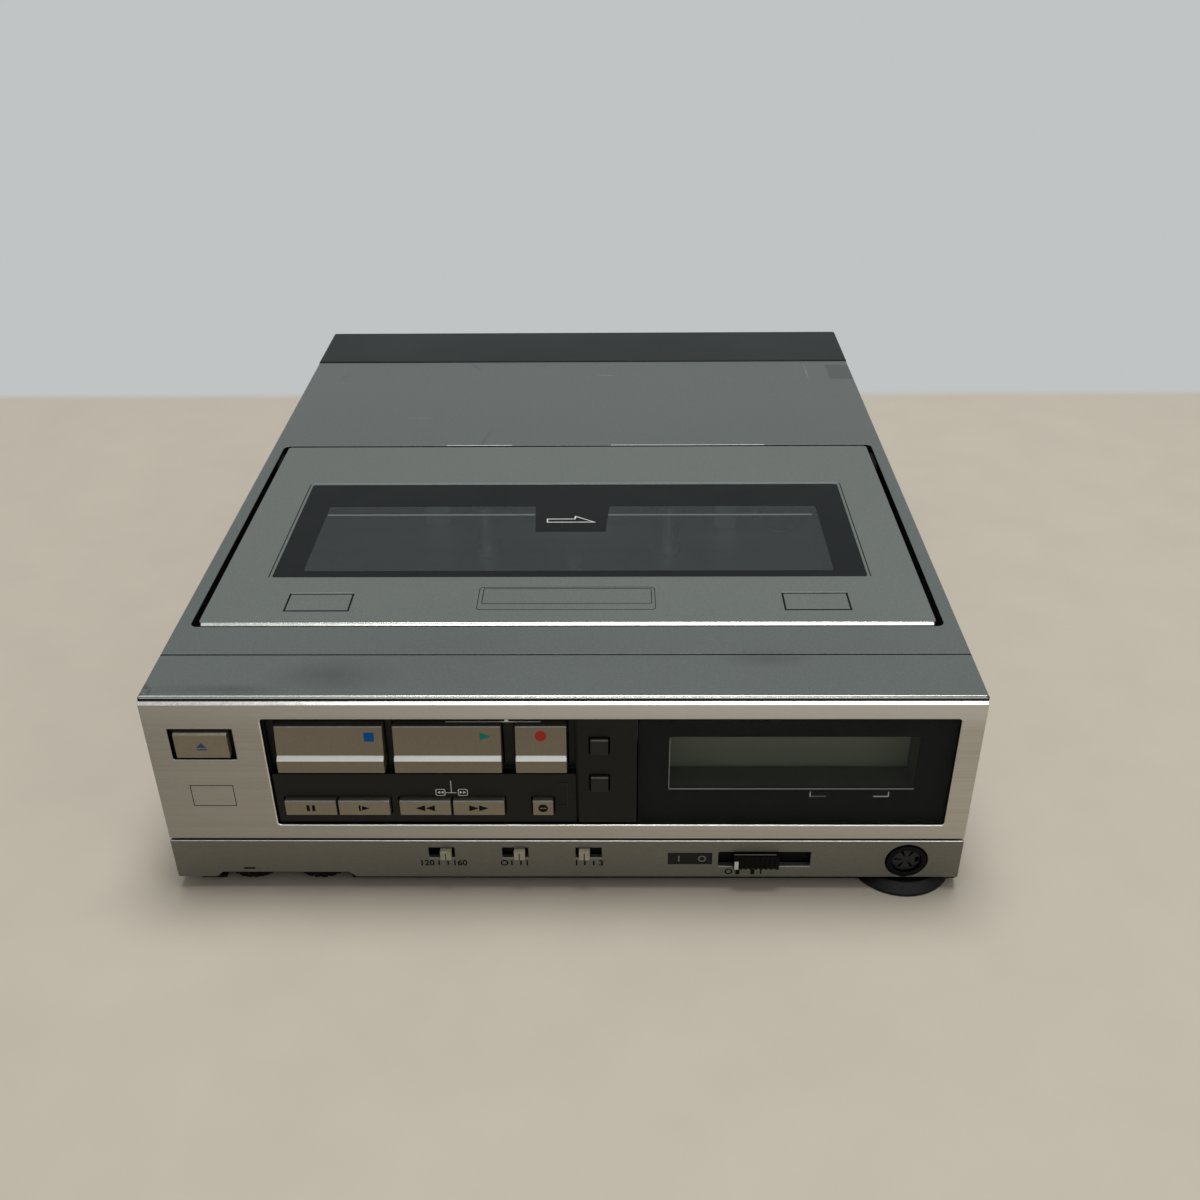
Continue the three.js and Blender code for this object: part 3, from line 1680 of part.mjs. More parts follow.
function makePinchArm() {
  const bar = block(0, armReach, -pinch.armWidth / 2, pinch.armWidth / 2, 0, pinch.armThickness);
  const pivot = rod("z", [0, 0], pinch.pivotRadius, 0, pinch.rollerHeight / 2, smallSides);
  const end = rod("z", [armReach, 0], pinch.armWidth / 2, 0, pinch.armThickness, smallSides);
  const axleTop = pinch.armThickness + seat + pinch.rollerHeight;
  const axle = rod("z", [armReach, 0], pinch.axleRadius, 0, axleTop, smallSides);
  const bore = rod("z", [0, 0], pinch.axleRadius + seat, -overrun, pinch.rollerHeight, smallSides);
  return cut(join(bar, pivot, end, axle), bore);
}
place("pinch_arm", "steel", makePinchArm(), [0, 0, 0], pinchGroup);
const roller = cut(
  rod("z", [0, 0], pinch.rollerRadius, 0, pinch.rollerHeight),
  rod("z", [0, 0], pinch.axleRadius + seat, -overrun, pinch.rollerHeight + overrun, smallSides),
);
place("pinch_roller", "rubber", roller, [armReach, 0, pinch.armThickness + seat], pinchGroup);

// Fixed heads
function makeHead({ width, depth, height }) {
  const body = block(-width / 2, width / 2, -depth / 2, depth / 2, 0, height);
  const nose = rod(
    "z",
    [0, depth / 2 - width / 4],
    width / 4 + depth / 4,
    height / 4,
    height - height / 8,
    smallSides,
  );
  return join(body, nose);
}
place(
  "erase_head",
  "machined",
  makeHead(eraseHead),
  [eraseHead.x, mouthY + eraseHead.behindMouth, deckTop + seat],
);
place(
  "audio_head",
  "machined",
  makeHead(audioHead),
  [audioHead.x, mouthY + audioHead.behindMouth, deckTop + seat],
);

// Loading motor with its worm
function makeLoadingMotor() {
  const right = deckHalf - loadingMotor.right;
  const left = right - loadingMotor.length;
  const at = [deckBack - loadingMotor.fromRear, deckTop + seat + loadingMotor.radius];
  const body = rod("x", at, loadingMotor.radius, left, right);
  const shaft = rod(
    "x",
    at,
    loadingMotor.shaftRadius,
    left - loadingMotor.wormLength - overrun,
    left + overrun,
    smallSides,
  );
  const worm = rod(
    "x",
    at,
    loadingMotor.wormRadius,
    left - loadingMotor.wormLength,
    left - overrun,
    smallSides,
  );
  return join(body, shaft, worm);
}
place("loading_motor", "steel", makeLoadingMotor());

// Main circuit board under the deck, with its largest parts
function makeMainBoard() {
  const plate = block(-boardHalf, boardHalf, boardFront, boardBack, boardBottom, boardTop);
  const stand = (x, y, size) =>
    block(
      x - size.width / 2,
      x + size.width / 2,
      y - size.depth / 2,
      y + size.depth / 2,
      boardTop - mainBoard.thickness / 2,
      boardTop + size.height,
    );
  const length = boardBack - boardFront;
  const pieces = chipRowShares.flatMap((row) =>
    chipColumnShares.map((column, i) =>
      stand(column * boardHalf, boardFront + row * length, i ? chip : can),
    ),
  );
  return join(plate, pieces);
}
place("main_board", "board", makeMainBoard());

export default part;
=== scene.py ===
import contextlib
import functools
import json
import math

import bmesh
import bpy
from mathutils import Matrix, Vector


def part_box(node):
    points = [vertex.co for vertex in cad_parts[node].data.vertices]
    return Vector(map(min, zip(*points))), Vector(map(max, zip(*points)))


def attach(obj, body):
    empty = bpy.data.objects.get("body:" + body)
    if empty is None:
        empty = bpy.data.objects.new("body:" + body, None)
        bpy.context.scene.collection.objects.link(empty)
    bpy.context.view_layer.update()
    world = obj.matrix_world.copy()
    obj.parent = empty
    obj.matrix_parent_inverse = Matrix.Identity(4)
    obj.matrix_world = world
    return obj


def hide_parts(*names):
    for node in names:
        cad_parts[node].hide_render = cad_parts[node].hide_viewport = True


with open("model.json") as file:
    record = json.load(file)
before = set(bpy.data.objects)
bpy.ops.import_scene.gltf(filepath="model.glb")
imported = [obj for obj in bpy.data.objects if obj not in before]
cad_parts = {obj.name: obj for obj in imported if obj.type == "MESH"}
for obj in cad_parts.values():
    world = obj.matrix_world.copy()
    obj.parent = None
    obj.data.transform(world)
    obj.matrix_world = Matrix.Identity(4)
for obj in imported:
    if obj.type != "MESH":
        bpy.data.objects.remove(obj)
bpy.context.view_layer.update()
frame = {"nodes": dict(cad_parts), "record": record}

bl_info = {
    "name": "Portable cassette recorder looks",
    "version": (1, 0, 0),
    "blender": (4, 5, 0),
    "location": "View3D > Sidebar > Recorder",
    "description": "Finishes, edges, marks and small parts on the packed recorder, and its stage",
    "category": "Object",
}

MM = 0.001
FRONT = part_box("front_panel")[0].y
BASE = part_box("lower_front_panel")[0].z
BODY_OF = {
    node: body
    for body, nodes in frame["record"]["behaviour"]["bodies"].items()
    for node in nodes
}
SLOT_OF = {entry["node"]: entry["material_slot"] for entry in frame["record"]["subparts"]}

# Faces that markings and small parts sit on, in millimetres from the middle of the front
# panel's foot
TOP = 60.1
SIDE = 107.4
REAR = 266.7
UNDERSIDE = -2.3
WELL_BACK = 3.2
WELL_STEP = 0.7
BOARD_TOP = 7.2
DECK_TOP = 24.7
SMALL_KEY_FACE = -0.5
EJECT_FACE = -0.6
# Where the door on the right and the socket on the left have their middle, front to back
REAR_BAY = 249.95
# Heights of the small keys' symbols and of the ledges across the tall keys, how far these lean
# back above their ledges, as a share of the height, and the box of their top edges, which get a
# painted highlight
KEY_ROW = 25.2
KEY_LEDGE = 42.5
KEY_LEAN = 0.142
ABOVE_LEDGES = (-200, 200, -99, 99, 50, 99)
SCREW_HEIGHT = 0.9
# Height of the font's figures as a share of its size, and how much bolder they're made
FIGURE_SHARE = 0.7
FIGURE_WEIGHT = 0.035

# How the front panel's top edge leans back: heights and depths
PANEL_TOP = ((58.45, 0.0), (58.56, 0.04), (58.68, 0.13), (59.26, 0.7), (59.4, 0.9), (59.8, 1.3))

# Smudges on the cover's front: middle, half width and half depth in millimetres, and strength
SMUDGES = ((-59.5, 11, 19, 9, 0.6), (53, 18.5, 13, 5, 0.5), (-88, 4.5, 22, 3, 0.6))
# Scratches on the cover's rear: middle, half length and half width in millimetres, and turn
SCRATCHES = (
    (-93.5, 217.4, 4.0, 1.1, 49),
    (-43.0, 228.6, 8.1, 1.0, -59),
    (-33.0, 156.3, 11.6, 1.0, -101),
)

# The stage, in metres: how far the floor reaches, and where it takes the wall's colour
FLOOR_REACH = 2.5
WALL_START = 0.218
WALL_BLEND = 0.008
# Strength of the even light from all round, and the lamps: name, place, width, depth and watts
WORLD_LIGHT = 0.25
LAMPS = (
    ("overhead", (0.05, 0.06, 1.5), 0.6, 0.6, 14.5),
    ("front_soft", (0.25, -1.0, 1.2), 1.3, 0.5, 5.5),
    ("side_fill", (0.75, -0.7, 0.5), 0.5, 0.5, 0.9),
)
# The camera's place, its turn in degrees and its focal length in millimetres
CAMERA_PLACE = (0.01392, -0.38785, 0.25098)
CAMERA_TURN = (58.409, 0.471, 0.596)
CAMERA_LENS = 37.92


def middle_of(node):
    """Where a node's middle lies from left to right, in millimetres."""
    low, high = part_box(node)
    return (low.x + high.x) / 2 / MM


def at(x, y, z):
    """A point in metres, from millimetres right, back and up of the front panel's foot."""
    return Vector((x * MM, FRONT + y * MM, BASE + z * MM))


def shade(red, green, blue):
    """A linear colour from the 0 to 255 values that a screen shows."""
    values = [c / 255 for c in (red, green, blue)]
    return tuple(
        c / 12.92 if c <= 0.04045 else ((c + 0.055) / 1.055) ** 2.4 for c in values
    ) + (1.0,)


def inside(place, x0, x1, y0, y1, z0, z1):
    """True where a place in metres lies in a box given in millimetres."""
    spot = (place - at(0, 0, 0)) / MM
    return x0 < spot.x < x1 and y0 < spot.y < y1 and z0 < spot.z < z1


def mix(colour, other, share):
    """A colour part of the way to another one."""
    return tuple(a + (b - a) * share for a, b in zip(colour, other))


def shift(colour, share):
    """A colour made darker or, with a share above 0, lighter by a share of itself."""
    return tuple(min(1.0, c * (1 + share)) for c in colour[:3]) + (1.0,)


BLACK = (0.0, 0.0, 0.0, 1.0)
WHITE = (1.0, 1.0, 1.0, 1.0)


# ---------------------------------------------------------------- sizes and colours


class RecorderSizes(bpy.types.PropertyGroup):
    cover_edge: bpy.props.FloatProperty(
        name="Cover edge", description="Rounding of the painted covers, in millimetres",
        default=0.5)
    panel_edge: bpy.props.FloatProperty(
        name="Panel edge", description="Rounding of the front panels, in millimetres",
        default=0.35)
    key_edge: bpy.props.FloatProperty(
        name="Key edge", description="Rounding of the keys, in millimetres", default=0.22)
    print_rise: bpy.props.FloatProperty(
        name="Print rise", description="How far a printed mark stands off its face, in millimetres",
        default=0.03)
    screw_radius: bpy.props.FloatProperty(
        name="Screw radius", description="Head radius of the case screws, in millimetres",
        default=2.6)


class RecorderColours(bpy.types.PropertyGroup):
    cover: bpy.props.FloatVectorProperty(
        name="Cover", description="Metallic paint of the covers", subtype="COLOR",
        size=4, default=shade(100, 106, 103))
    lid: bpy.props.FloatVectorProperty(
        name="Lid", description="Metallic paint of the lid", subtype="COLOR",
        size=4, default=shade(109, 115, 111))
    panel: bpy.props.FloatVectorProperty(
        name="Front panel", description="Brushed metal of the front panel", subtype="COLOR",
        size=4, default=shade(188, 185, 178))
    lower: bpy.props.FloatVectorProperty(
        name="Lower panel", description="Metallic paint of the lower panel", subtype="COLOR",
        size=4, default=shade(116, 115, 107))
    keys: bpy.props.FloatVectorProperty(
        name="Keys", description="Satin paint of the keys", subtype="COLOR",
        size=4, default=shade(139, 130, 114))
    floor: bpy.props.FloatVectorProperty(
        name="Floor", description="Studio floor", subtype="COLOR",
        size=4, default=shade(203, 194, 178))
    wall: bpy.props.FloatVectorProperty(
        name="Backdrop", description="Studio backdrop", subtype="COLOR",
        size=4, default=shade(192, 196, 196))


def sizes():
    return bpy.context.scene.recorder_sizes


def colours():
    return bpy.context.scene.recorder_colours


# ---------------------------------------------------------------- finishes


def add_node(tree, kind, inputs=None, **settings):
    """A node of a tree. Its inputs, by name or number, get a value or a link from a socket."""
    node = tree.nodes.new(kind)
    for key, value in settings.items():
        setattr(node, key, value)
    for key, value in (inputs or {}).items():
        if isinstance(value, bpy.types.NodeSocket):
            tree.links.new(value, node.inputs[key])
        else:
            node.inputs[key].default_value = value
    return node


class FinishTree:
    """Node tree of one finish: patterns on Object coordinates into a Principled shader."""

    def __init__(self, name, roughness, metallic, specular=0.5):
        self.material = bpy.data.materials.new(name)
        self.material.use_nodes = True
        self.tree = self.material.node_tree
        self.tree.nodes.clear()
        self.add = functools.partial(add_node, self.tree)
        self.output = self.add("ShaderNodeOutputMaterial")
        self.shader = self.add("ShaderNodeBsdfPrincipled")
        self.shader.inputs["Roughness"].default_value = roughness
        self.shader.inputs["Metallic"].default_value = metallic
        self.shader.inputs["Specular IOR Level"].default_value = specular
        self.join(self.shader.outputs[0], self.output.inputs[0])
        self.place = self.add("ShaderNodeTexCoord").outputs["Object"]

    def join(self, source, target):
        self.tree.links.new(source, target)

    def noise(self, scale, stretch=(1, 1, 1), detail=2.0, low=0.3, high=0.7):
        """Noise from 0 to 1, with its grain stretched along an axis."""
        spot = self.add("ShaderNodeMapping", {"Vector": self.place, "Scale": stretch})
        wave = self.add(
            "ShaderNodeTexNoise", {"Vector": spot.outputs[0], "Scale": scale, "Detail": detail})
        return self.span(wave.outputs["Fac"], low, high)

    def span(self, source, low, high, start=0.0, end=1.0):
        """A value that runs from start to end while the source runs from low to high."""
        return self.add("ShaderNodeMapRange", {
            "Value": source, "From Min": low, "From Max": high, "To Min": start, "To Max": end,
        }).outputs[0]

    def blend(self, share, first, second, kind="MIX"):
        """One colour over another, where the share is 1."""
        return self.add("ShaderNodeMix", {0: share, 6: first, 7: second},
                        data_type="RGBA", blend_type=kind).outputs[2]

    def area(self, middle, half, soft=0.5, round_area=True, turn=0.0):
        """From 0 outside to 1 inside a round or square-cornered area, seen from above."""
        spot = self.add("ShaderNodeMapping", {
            "Vector": self.place, "Scale": (half[0], half[1], 1000.0), "Location": middle,
            "Rotation": (0, 0, math.radians(turn))}, vector_type="TEXTURE").outputs[0]
        if round_area:
            reach = self.add("ShaderNodeVectorMath", {0: spot}, operation="LENGTH").outputs[1]
        else:
            sides = self.add("ShaderNodeVectorMath", {0: spot}, operation="ABSOLUTE").outputs[0]
            apart = self.add("ShaderNodeSeparateXYZ", {0: sides}).outputs
            reach = self.maths("MAXIMUM", apart[0], apart[1])
        return self.span(reach, 1, 1 - soft)

    def maths(self, operation, first, second):
        return self.add("ShaderNodeMath", {0: first, 1: second}, operation=operation).outputs[0]

    def times(self, *values):
        return functools.reduce(lambda first, second: self.maths("MULTIPLY", first, second), values)

    def axes(self):
        """Where a point lies along x, y and z."""
        return self.add("ShaderNodeSeparateXYZ", {0: self.place}).outputs

    def colour(self, source):
        self.join(source, self.shader.inputs["Base Color"])

    def roughen(self, source, low, high):
        self.join(self.span(source, 0, 1, low, high), self.shader.inputs["Roughness"])

    def bump(self, source, height):
        node = self.add("ShaderNodeBump", {"Height": source, "Distance": height * MM})
        self.join(node.outputs[0], self.shader.inputs["Normal"])


def make_finish(name, colour, roughness, metallic=0.0, grain=900, grain_share=0.12,
                stretch=(1, 1, 1), cloud=18, cloud_share=0.06, height=0.01, specular=0.5,
                speck=None, speck_share=0.5):
    """A finish with fine grain, slow clouding, uneven gloss and, where asked, small wear marks."""
    tree = FinishTree(name, roughness, metallic, specular)
    colour = tuple(colour)
    fine = tree.noise(grain, stretch)
    slow = tree.noise(cloud, detail=4.0)
    tone = tree.blend(fine, shift(colour, -grain_share), shift(colour, grain_share))
    veil = tree.blend(slow, mix(WHITE, BLACK, cloud_share), WHITE)
    tone = tree.blend(1.0, tone, veil, "MULTIPLY")
    if speck:
        spots = tree.noise(70, detail=6.0, low=0.66, high=0.74)
        tone = tree.blend(tree.times(spots, speck_share), tone, speck)
    tree.colour(tone)
    tree.roughen(slow, roughness * 0.88, roughness * 1.12)
    if height:
        tree.bump(fine, height)
    return tree.material


def make_print(name, colour):
    """Printing ink: even colour with a trace of uneven cover."""
    return make_finish(name, colour, 0.45, grain=1500, grain_share=0.05, cloud=60,
                       cloud_share=0.05, height=0, specular=0.08)


def make_glass(name, tint, bend, roughness=0.14, clear=1.0):
    """Smoked sheet that lets the lamps through. A share below 1 of clear leaves a pale veil."""
    tree = FinishTree(name, roughness, 0.0)
    tree.shader.inputs["IOR"].default_value = bend
    tree.shader.inputs["Transmission Weight"].default_value = clear
    haze = tree.noise(14, detail=1.0)
    tree.colour(tree.blend(haze, tint, mix(tint, WHITE, 0.03)))
    tree.roughen(haze, roughness * 0.8, roughness * 1.3)
    open_way = tree.add("ShaderNodeBsdfTransparent", {"Color": tint})
    path = tree.add("ShaderNodeLightPath")
    both = tree.add("ShaderNodeMixShader", {
        0: path.outputs["Is Shadow Ray"], 1: tree.shader.outputs[0], 2: open_way.outputs[0]})
    tree.join(both.outputs[0], tree.output.inputs[0])
    return tree.material


def make_cover_paint(name, colour):
    """Metallic grey paint with fine grain and slow clouding."""
    tree = FinishTree(name, 0.4, 0.3, 0.3)
    colour = tuple(colour)
    fine = tree.noise(1700, detail=1.0)
    slow = tree.noise(9, detail=5.0)
    tone = tree.blend(fine, shift(colour, -0.08), shift(colour, 0.08))
    tone = tree.blend(1.0, tone, tree.blend(slow, (0.93, 0.93, 0.93, 1), WHITE), "MULTIPLY")
    tree.roughen(slow, 0.35, 0.45)
    tree.bump(fine, 0.002)
    return tree, tone


def make_worn_paint():
    """The covers' paint with its marks: rubbed patches, a chipped corner and fine scratches."""
    colour = tuple(colours().cover)
    tree, tone = make_cover_paint("cabinet_paint", colour)
    smear = tree.noise(75, (1, 0.6, 1), detail=5.0, low=0.3, high=0.7)
    upper = tree.span(tree.axes()[2], at(0, 0, 57.5).z, at(0, 0, 59).z)
    for x, y, half_x, half_y, depth in SMUDGES:
        spot = tree.area(at(x, y, 0), (half_x * MM, half_y * MM), 0.9)
        spot = tree.times(spot, tree.span(smear, 0, 1, depth * 0.45, depth), upper)
        tone = tree.blend(spot, tone, mix(colour, BLACK, 0.6))
    for x, y, long, wide, turn in SCRATCHES:
        spot = tree.area(at(x, y, 0), (long * MM, wide * MM), 1.0, turn=turn)
        tone = tree.blend(tree.times(spot, tree.times(upper, 0.4)), tone, mix(colour, BLACK, 0.7))
    chip = tree.area(at(-107.5, 3, 0), (3.4 * MM, 4.5 * MM), 0.35)
    chip = tree.times(chip, tree.noise(420, detail=4.0, low=0.38, high=0.5), upper)
    tone = tree.blend(chip, tone, shade(58, 58, 54))
    patch = tree.area(at(103, 221, 0), (5.4 * MM, 8 * MM), 0.12, round_area=False)
    patch = tree.times(patch, tree.times(upper, 0.62))
    tone = tree.blend(patch, tone, mix(colour, BLACK, 0.52))
    line = tree.area(at(89.5, 221, 0), (0.4 * MM, 9 * MM), 0.6)
    hair = tree.noise(26, (1, 14, 1), detail=3.0, low=0.76, high=0.79)
    pale = tree.times(tree.maths("MAXIMUM", line, hair), 0.24)
    tree.colour(tree.blend(pale, tone, mix(colour, WHITE, 0.35)))
    return tree.material


def make_lid_paint():
    """The covers' paint without their marks."""
    tree, tone = make_cover_paint("lid_paint", colours().lid)
    tree.colour(tone)
    return tree.material


def make_brushed(name, colour, roughness, streak_share, left_shade=0.0, top_sheen=0.0):
    """Sheet metal brushed from left to right. Where asked, it gets painted shade that darkens it
    slowly towards the left, and a painted sheen that makes it paler along the front panel's top."""
    tree = FinishTree(name, roughness, 0.85)
    colour = tuple(colour)
    hair = tree.noise(190, (0.03, 1, 9), detail=5.0, low=0.25, high=0.75)
    band = tree.noise(26, (0.2, 1, 3.5), detail=3.0)
    tone = tree.blend(hair, shift(colour, -streak_share), shift(colour, streak_share))
    tone = tree.blend(1.0, tone, tree.blend(band, (0.95, 0.945, 0.935, 1), WHITE), "MULTIPLY")
    if left_shade:
        side, _, height = tree.axes()
        # Painted sheen: paler towards the top of the front panel
        upper = tree.span(height, at(0, 0, 50).z, at(0, 0, 56).z, 0, top_sheen)
        tone = tree.blend(upper, tone, mix(colour, WHITE, 0.5))
        # Painted shade: darker towards the left
        tone = tree.blend(tree.span(side, 0.03, -0.11, 0, left_shade), tone, mix(colour, BLACK, 0.5))
    tree.colour(tone)
    tree.roughen(hair, roughness * 0.85, roughness * 1.15)
    tree.bump(hair, 0.006)
    return tree.material


def make_turned(name, colour, roughness, centre=(0.0, 0.0)):
    """Machined metal with fine rings round an upright axis."""
    tree = FinishTree(name, roughness, 0.9)
    spot = tree.add("ShaderNodeMapping", {
        "Vector": tree.place, "Location": (-centre[0], -centre[1], 0)})
    rings = tree.add("ShaderNodeTexWave", {"Vector": spot.outputs[0], "Scale": 420.0,
                                           "Distortion": 0.6, "Detail": 2.0},
                     wave_type="RINGS", rings_direction="Z").outputs["Fac"]
    tone = tree.blend(rings, shift(colour, -0.12), shift(colour, 0.12))
    tree.colour(tone)
    tree.roughen(rings, roughness * 0.85, roughness * 1.15)
    tree.bump(rings, 0.004)
    return tree.material


# Finishes of one colour: the colour from 0 to 255 or the name of a user's colour, roughness,
# metallic, and the other settings of make_finish
PLAIN_FINISHES = {
    "lower_paint": ("lower", 0.4, 0.6, dict(
        grain=1400, grain_share=0.05, stretch=(0.5, 1, 1), height=0.002, speck=shade(80, 78, 72),
        speck_share=0.15)),
    "key_paint": ("keys", 0.34, 0.6, dict(
        grain=1500, grain_share=0.05, height=0.002, cloud=45, speck=shade(84, 78, 68),
        speck_share=0.25)),
    # A darker copy of the keys' paint for the tall keys: painted shade, as their faces lean back
    # and catch more light
    "tall_key_paint": ((131, 122, 106), 0.34, 0.6, dict(
        grain=1500, grain_share=0.05, cloud=45, height=0.002)),
    "gloss_black": ((18, 19, 19), 0.2, 0, dict(
        grain=500, grain_share=0.03, cloud=22, height=0.001, specular=0.35)),
    "matt_black": ((11, 11, 11), 0.5, 0, dict(
        grain=1300, grain_share=0.06, height=0.002, specular=0.14)),
    "housing_black": ((34, 38, 37), 0.42, 0, dict(
        grain=1300, grain_share=0.06, height=0.002, specular=0.1)),
    "rubber": ((11, 11, 12), 0.45, 0, dict(
        grain=1100, grain_share=0.06, height=0.002, specular=0.16)),
    "knob_black": ((10, 10, 10), 0.35, 0, dict(grain_share=0.04, height=0.001, specular=0.08)),
    "dark_key": ((31, 32, 29), 0.42, 0, dict(
        grain=1500, grain_share=0.06, height=0.002, specular=0.25)),
    "dark_panel": ((21, 21, 19), 0.4, 0, dict(
        grain=1400, grain_share=0.05, height=0.001, specular=0.2)),
    "knob": ((176, 172, 147), 0.5, 0, dict(grain=1300, cloud=90, cloud_share=0.2)),
    "display_glass": ((150, 152, 139), 0.4, 0, dict(
        grain=700, grain_share=0.03, cloud=35, height=0.001)),
    # Pale grey for painted highlights on the keys' top edges and on edges of the lid
    "lid_light": ((150, 156, 153), 0.4, 0.35, dict(height=0.002)),
    # Near white metal for painted highlights on lit edges and bevels
    "bright_edge": ((222, 222, 216), 0.22, 0.9, dict(height=0.002)),
    # Near white: painted highlight on the tall keys' sloping ledges, and the printed lines over the
    # keys, made brighter than their ink to offset the shade in the well
    "ledge_white": ((252, 253, 252), 0.25, 0, dict(grain_share=0.01, height=0.001)),
    "socket_grey": ((36, 38, 40), 0.4, 0, dict(height=0.004, specular=0.25)),
    "tunnel_grey": ((78, 79, 74), 0.6, 0, dict(height=0.002)),
    "cast_metal": ((138, 140, 142), 0.5, 0.8, dict(grain_share=0.06)),
    "white_plastic": ((226, 224, 216), 0.45, 0, dict(
        grain_share=0.02, cloud_share=0.04, height=0.003)),
    "board": ((50, 92, 56), 0.5, 0, dict(grain=260, grain_share=0.1, cloud=40, cloud_share=0.2)),
    "battery_case": ((62, 65, 70), 0.5, 0, dict(height=0.02)),
    "gold": ((206, 176, 104), 0.3, 0.9, {}),
    "amber_part": ((176, 130, 62), 0.4, 0, {}),
    "blue_part": ((44, 62, 108), 0.35, 0, {}),
}
PRINTS = {
    "print_white": (218, 220, 217),
    "print_grey": (122, 120, 112),
    "print_dim": (60, 60, 56),
    "print_black": (13, 13, 13),
    "print_smoke": (25, 28, 28),
    # a painted highlight rather than ink
    "print_glint": (104, 109, 110),
    "print_blue": (12, 92, 170),
    "print_navy": (62, 82, 138),
    "print_teal": (26, 138, 122),
    "print_red": (186, 58, 48),
}
FINISH = {}


def make_finishes():
    """Every finish of the recorder, kept by its slot's name or the print's name."""
    tint = colours()
    for name, (colour, roughness, metallic, settings) in PLAIN_FINISHES.items():
        colour = getattr(tint, colour) if isinstance(colour, str) else shade(*colour)
        FINISH[name] = make_finish(name, colour, roughness, metallic, **settings)
    for name, colour in PRINTS.items():
        FINISH[name] = make_print(name, shade(*colour))
    FINISH.update(
        cabinet_paint=make_worn_paint(),
        lid_paint=make_lid_paint(),
        # The front panel's metal, with painted shade towards its left and a painted sheen along its
        # top
        aluminium=make_brushed("aluminium", tint.panel, 0.3, 0.1, left_shade=0.6, top_sheen=0.5),
        steel=make_brushed("steel", shade(168, 170, 168), 0.34, 0.12),
        machined=make_turned("machined", shade(200, 202, 203), 0.22),
        drum_metal=make_turned("drum_metal", shade(205, 207, 208), 0.16, (0.0, FRONT + 0.191)),
        smoked_lens=make_glass("smoked_lens", shade(214, 219, 220), 1.02),
        smoke_film=make_glass("smoke_film", shade(202, 208, 209), 1.02, clear=0.949),
        lens_dark=make_glass("lens_dark", shade(198, 201, 197), 1.02, clear=0.985),
    )


# ---------------------------------------------------------------- making meshes


def finish_mesh(mesh, finish):
    mesh.materials.clear()
    mesh.materials.append(FINISH[finish])
    return mesh


def linked(name, data):
    """An object of the scene that holds a mesh, a curve, a lamp or a camera."""
    item = bpy.data.objects.new(name, data)
    bpy.context.scene.collection.objects.link(item)
    return item


def plain_mesh(carrier):
    """The mesh that an object comes to, with its modifiers. The object is removed."""
    bpy.context.view_layer.update()
    depsgraph = bpy.context.evaluated_depsgraph_get()
    mesh = bpy.data.meshes.new_from_object(carrier.evaluated_get(depsgraph))
    bpy.data.objects.remove(carrier)
    return mesh


@contextlib.contextmanager
def mesh_work(result, *sources):
    """A bmesh that starts from the sources and is written to the result at the end."""
    work = bmesh.new()
    for mesh in sources:
        work.from_mesh(mesh)
    yield work
    work.to_mesh(result)
    work.free()


def smooth(mesh):
    mesh.polygons.foreach_set("use_smooth", [True] * len(mesh.polygons))


def add_piece(name, mesh, body, slot, *nodes):
    """A finished mesh as a piece that rides on a body and may stand for CAD nodes."""
    piece = linked(name, mesh)
    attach(piece, body)
    if nodes:
        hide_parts(*nodes)
    return piece


def round_edges(mesh, width, segments=2):
    """The mesh with its sharp edges rounded, in millimetres, and its flat faces kept flat."""
    smooth(mesh)
    carrier = linked("carrier", mesh)
    for kind, settings in (
            ("BEVEL", {"width": width * MM, "segments": segments, "limit_method": "ANGLE",
                       "angle_limit": math.radians(35), "use_clamp_overlap": False}),
            ("WEIGHTED_NORMAL", {"mode": "FACE_AREA", "weight": 100, "keep_sharp": True})):
        modifier = carrier.modifiers.new(kind.lower(), kind)
        for key, value in settings.items():
            setattr(modifier, key, value)
    return plain_mesh(carrier)


def lean_back(mesh, profile):
    """Bends a front face back towards its top edge. profile lists heights, and how far behind
    the face the surface lies there, in millimetres."""
    with mesh_work(mesh, mesh) as work:
        for height, _ in profile[:-1]:
            bmesh.ops.bisect_plane(work, geom=work.verts[:] + work.edges[:] + work.faces[:],
                                   plane_co=at(0, 0, height), plane_no=(0, 0, 1), dist=1e-7)
        face = min(vert.co.y for vert in work.verts)
        for vert in work.verts:
            if vert.co.y > face + 0.02 * MM:
                continue
            height = (vert.co.z - BASE) / MM
            for (low, near), (high, far) in zip(profile, profile[1:]):
                if low <= height <= high + 0.01:
                    vert.co.y += (near + (far - near) * (height - low) / (high - low)) * MM
                    break


def node_mesh(node):
    """A merged copy of a CAD node's mesh, with flat areas made into single faces."""
    mesh = bpy.data.meshes.new(node + "_mesh")
    with mesh_work(mesh, frame["nodes"][node].data) as work:
        bmesh.ops.remove_doubles(work, verts=work.verts, dist=0.003 * MM)
        bmesh.ops.dissolve_limit(
            work, angle_limit=math.radians(0.8), verts=work.verts, edges=work.edges)
    return mesh


# Tests on a face's direction, for the finishes of a piece's faces
def any_way(way):
    return True


def is_front(way):
    return way.y < -0.9


def is_upright(way):
    return abs(way.z) < 0.3


def is_top_edge(way):
    """True for the rounding between a front face and the top."""
    return way.z > 0.3 and way.y < -0.3


def is_ledge(way):
    """True for the sloping ledge across a large key."""
    return way.z > 0.55 and way.y < -0.55


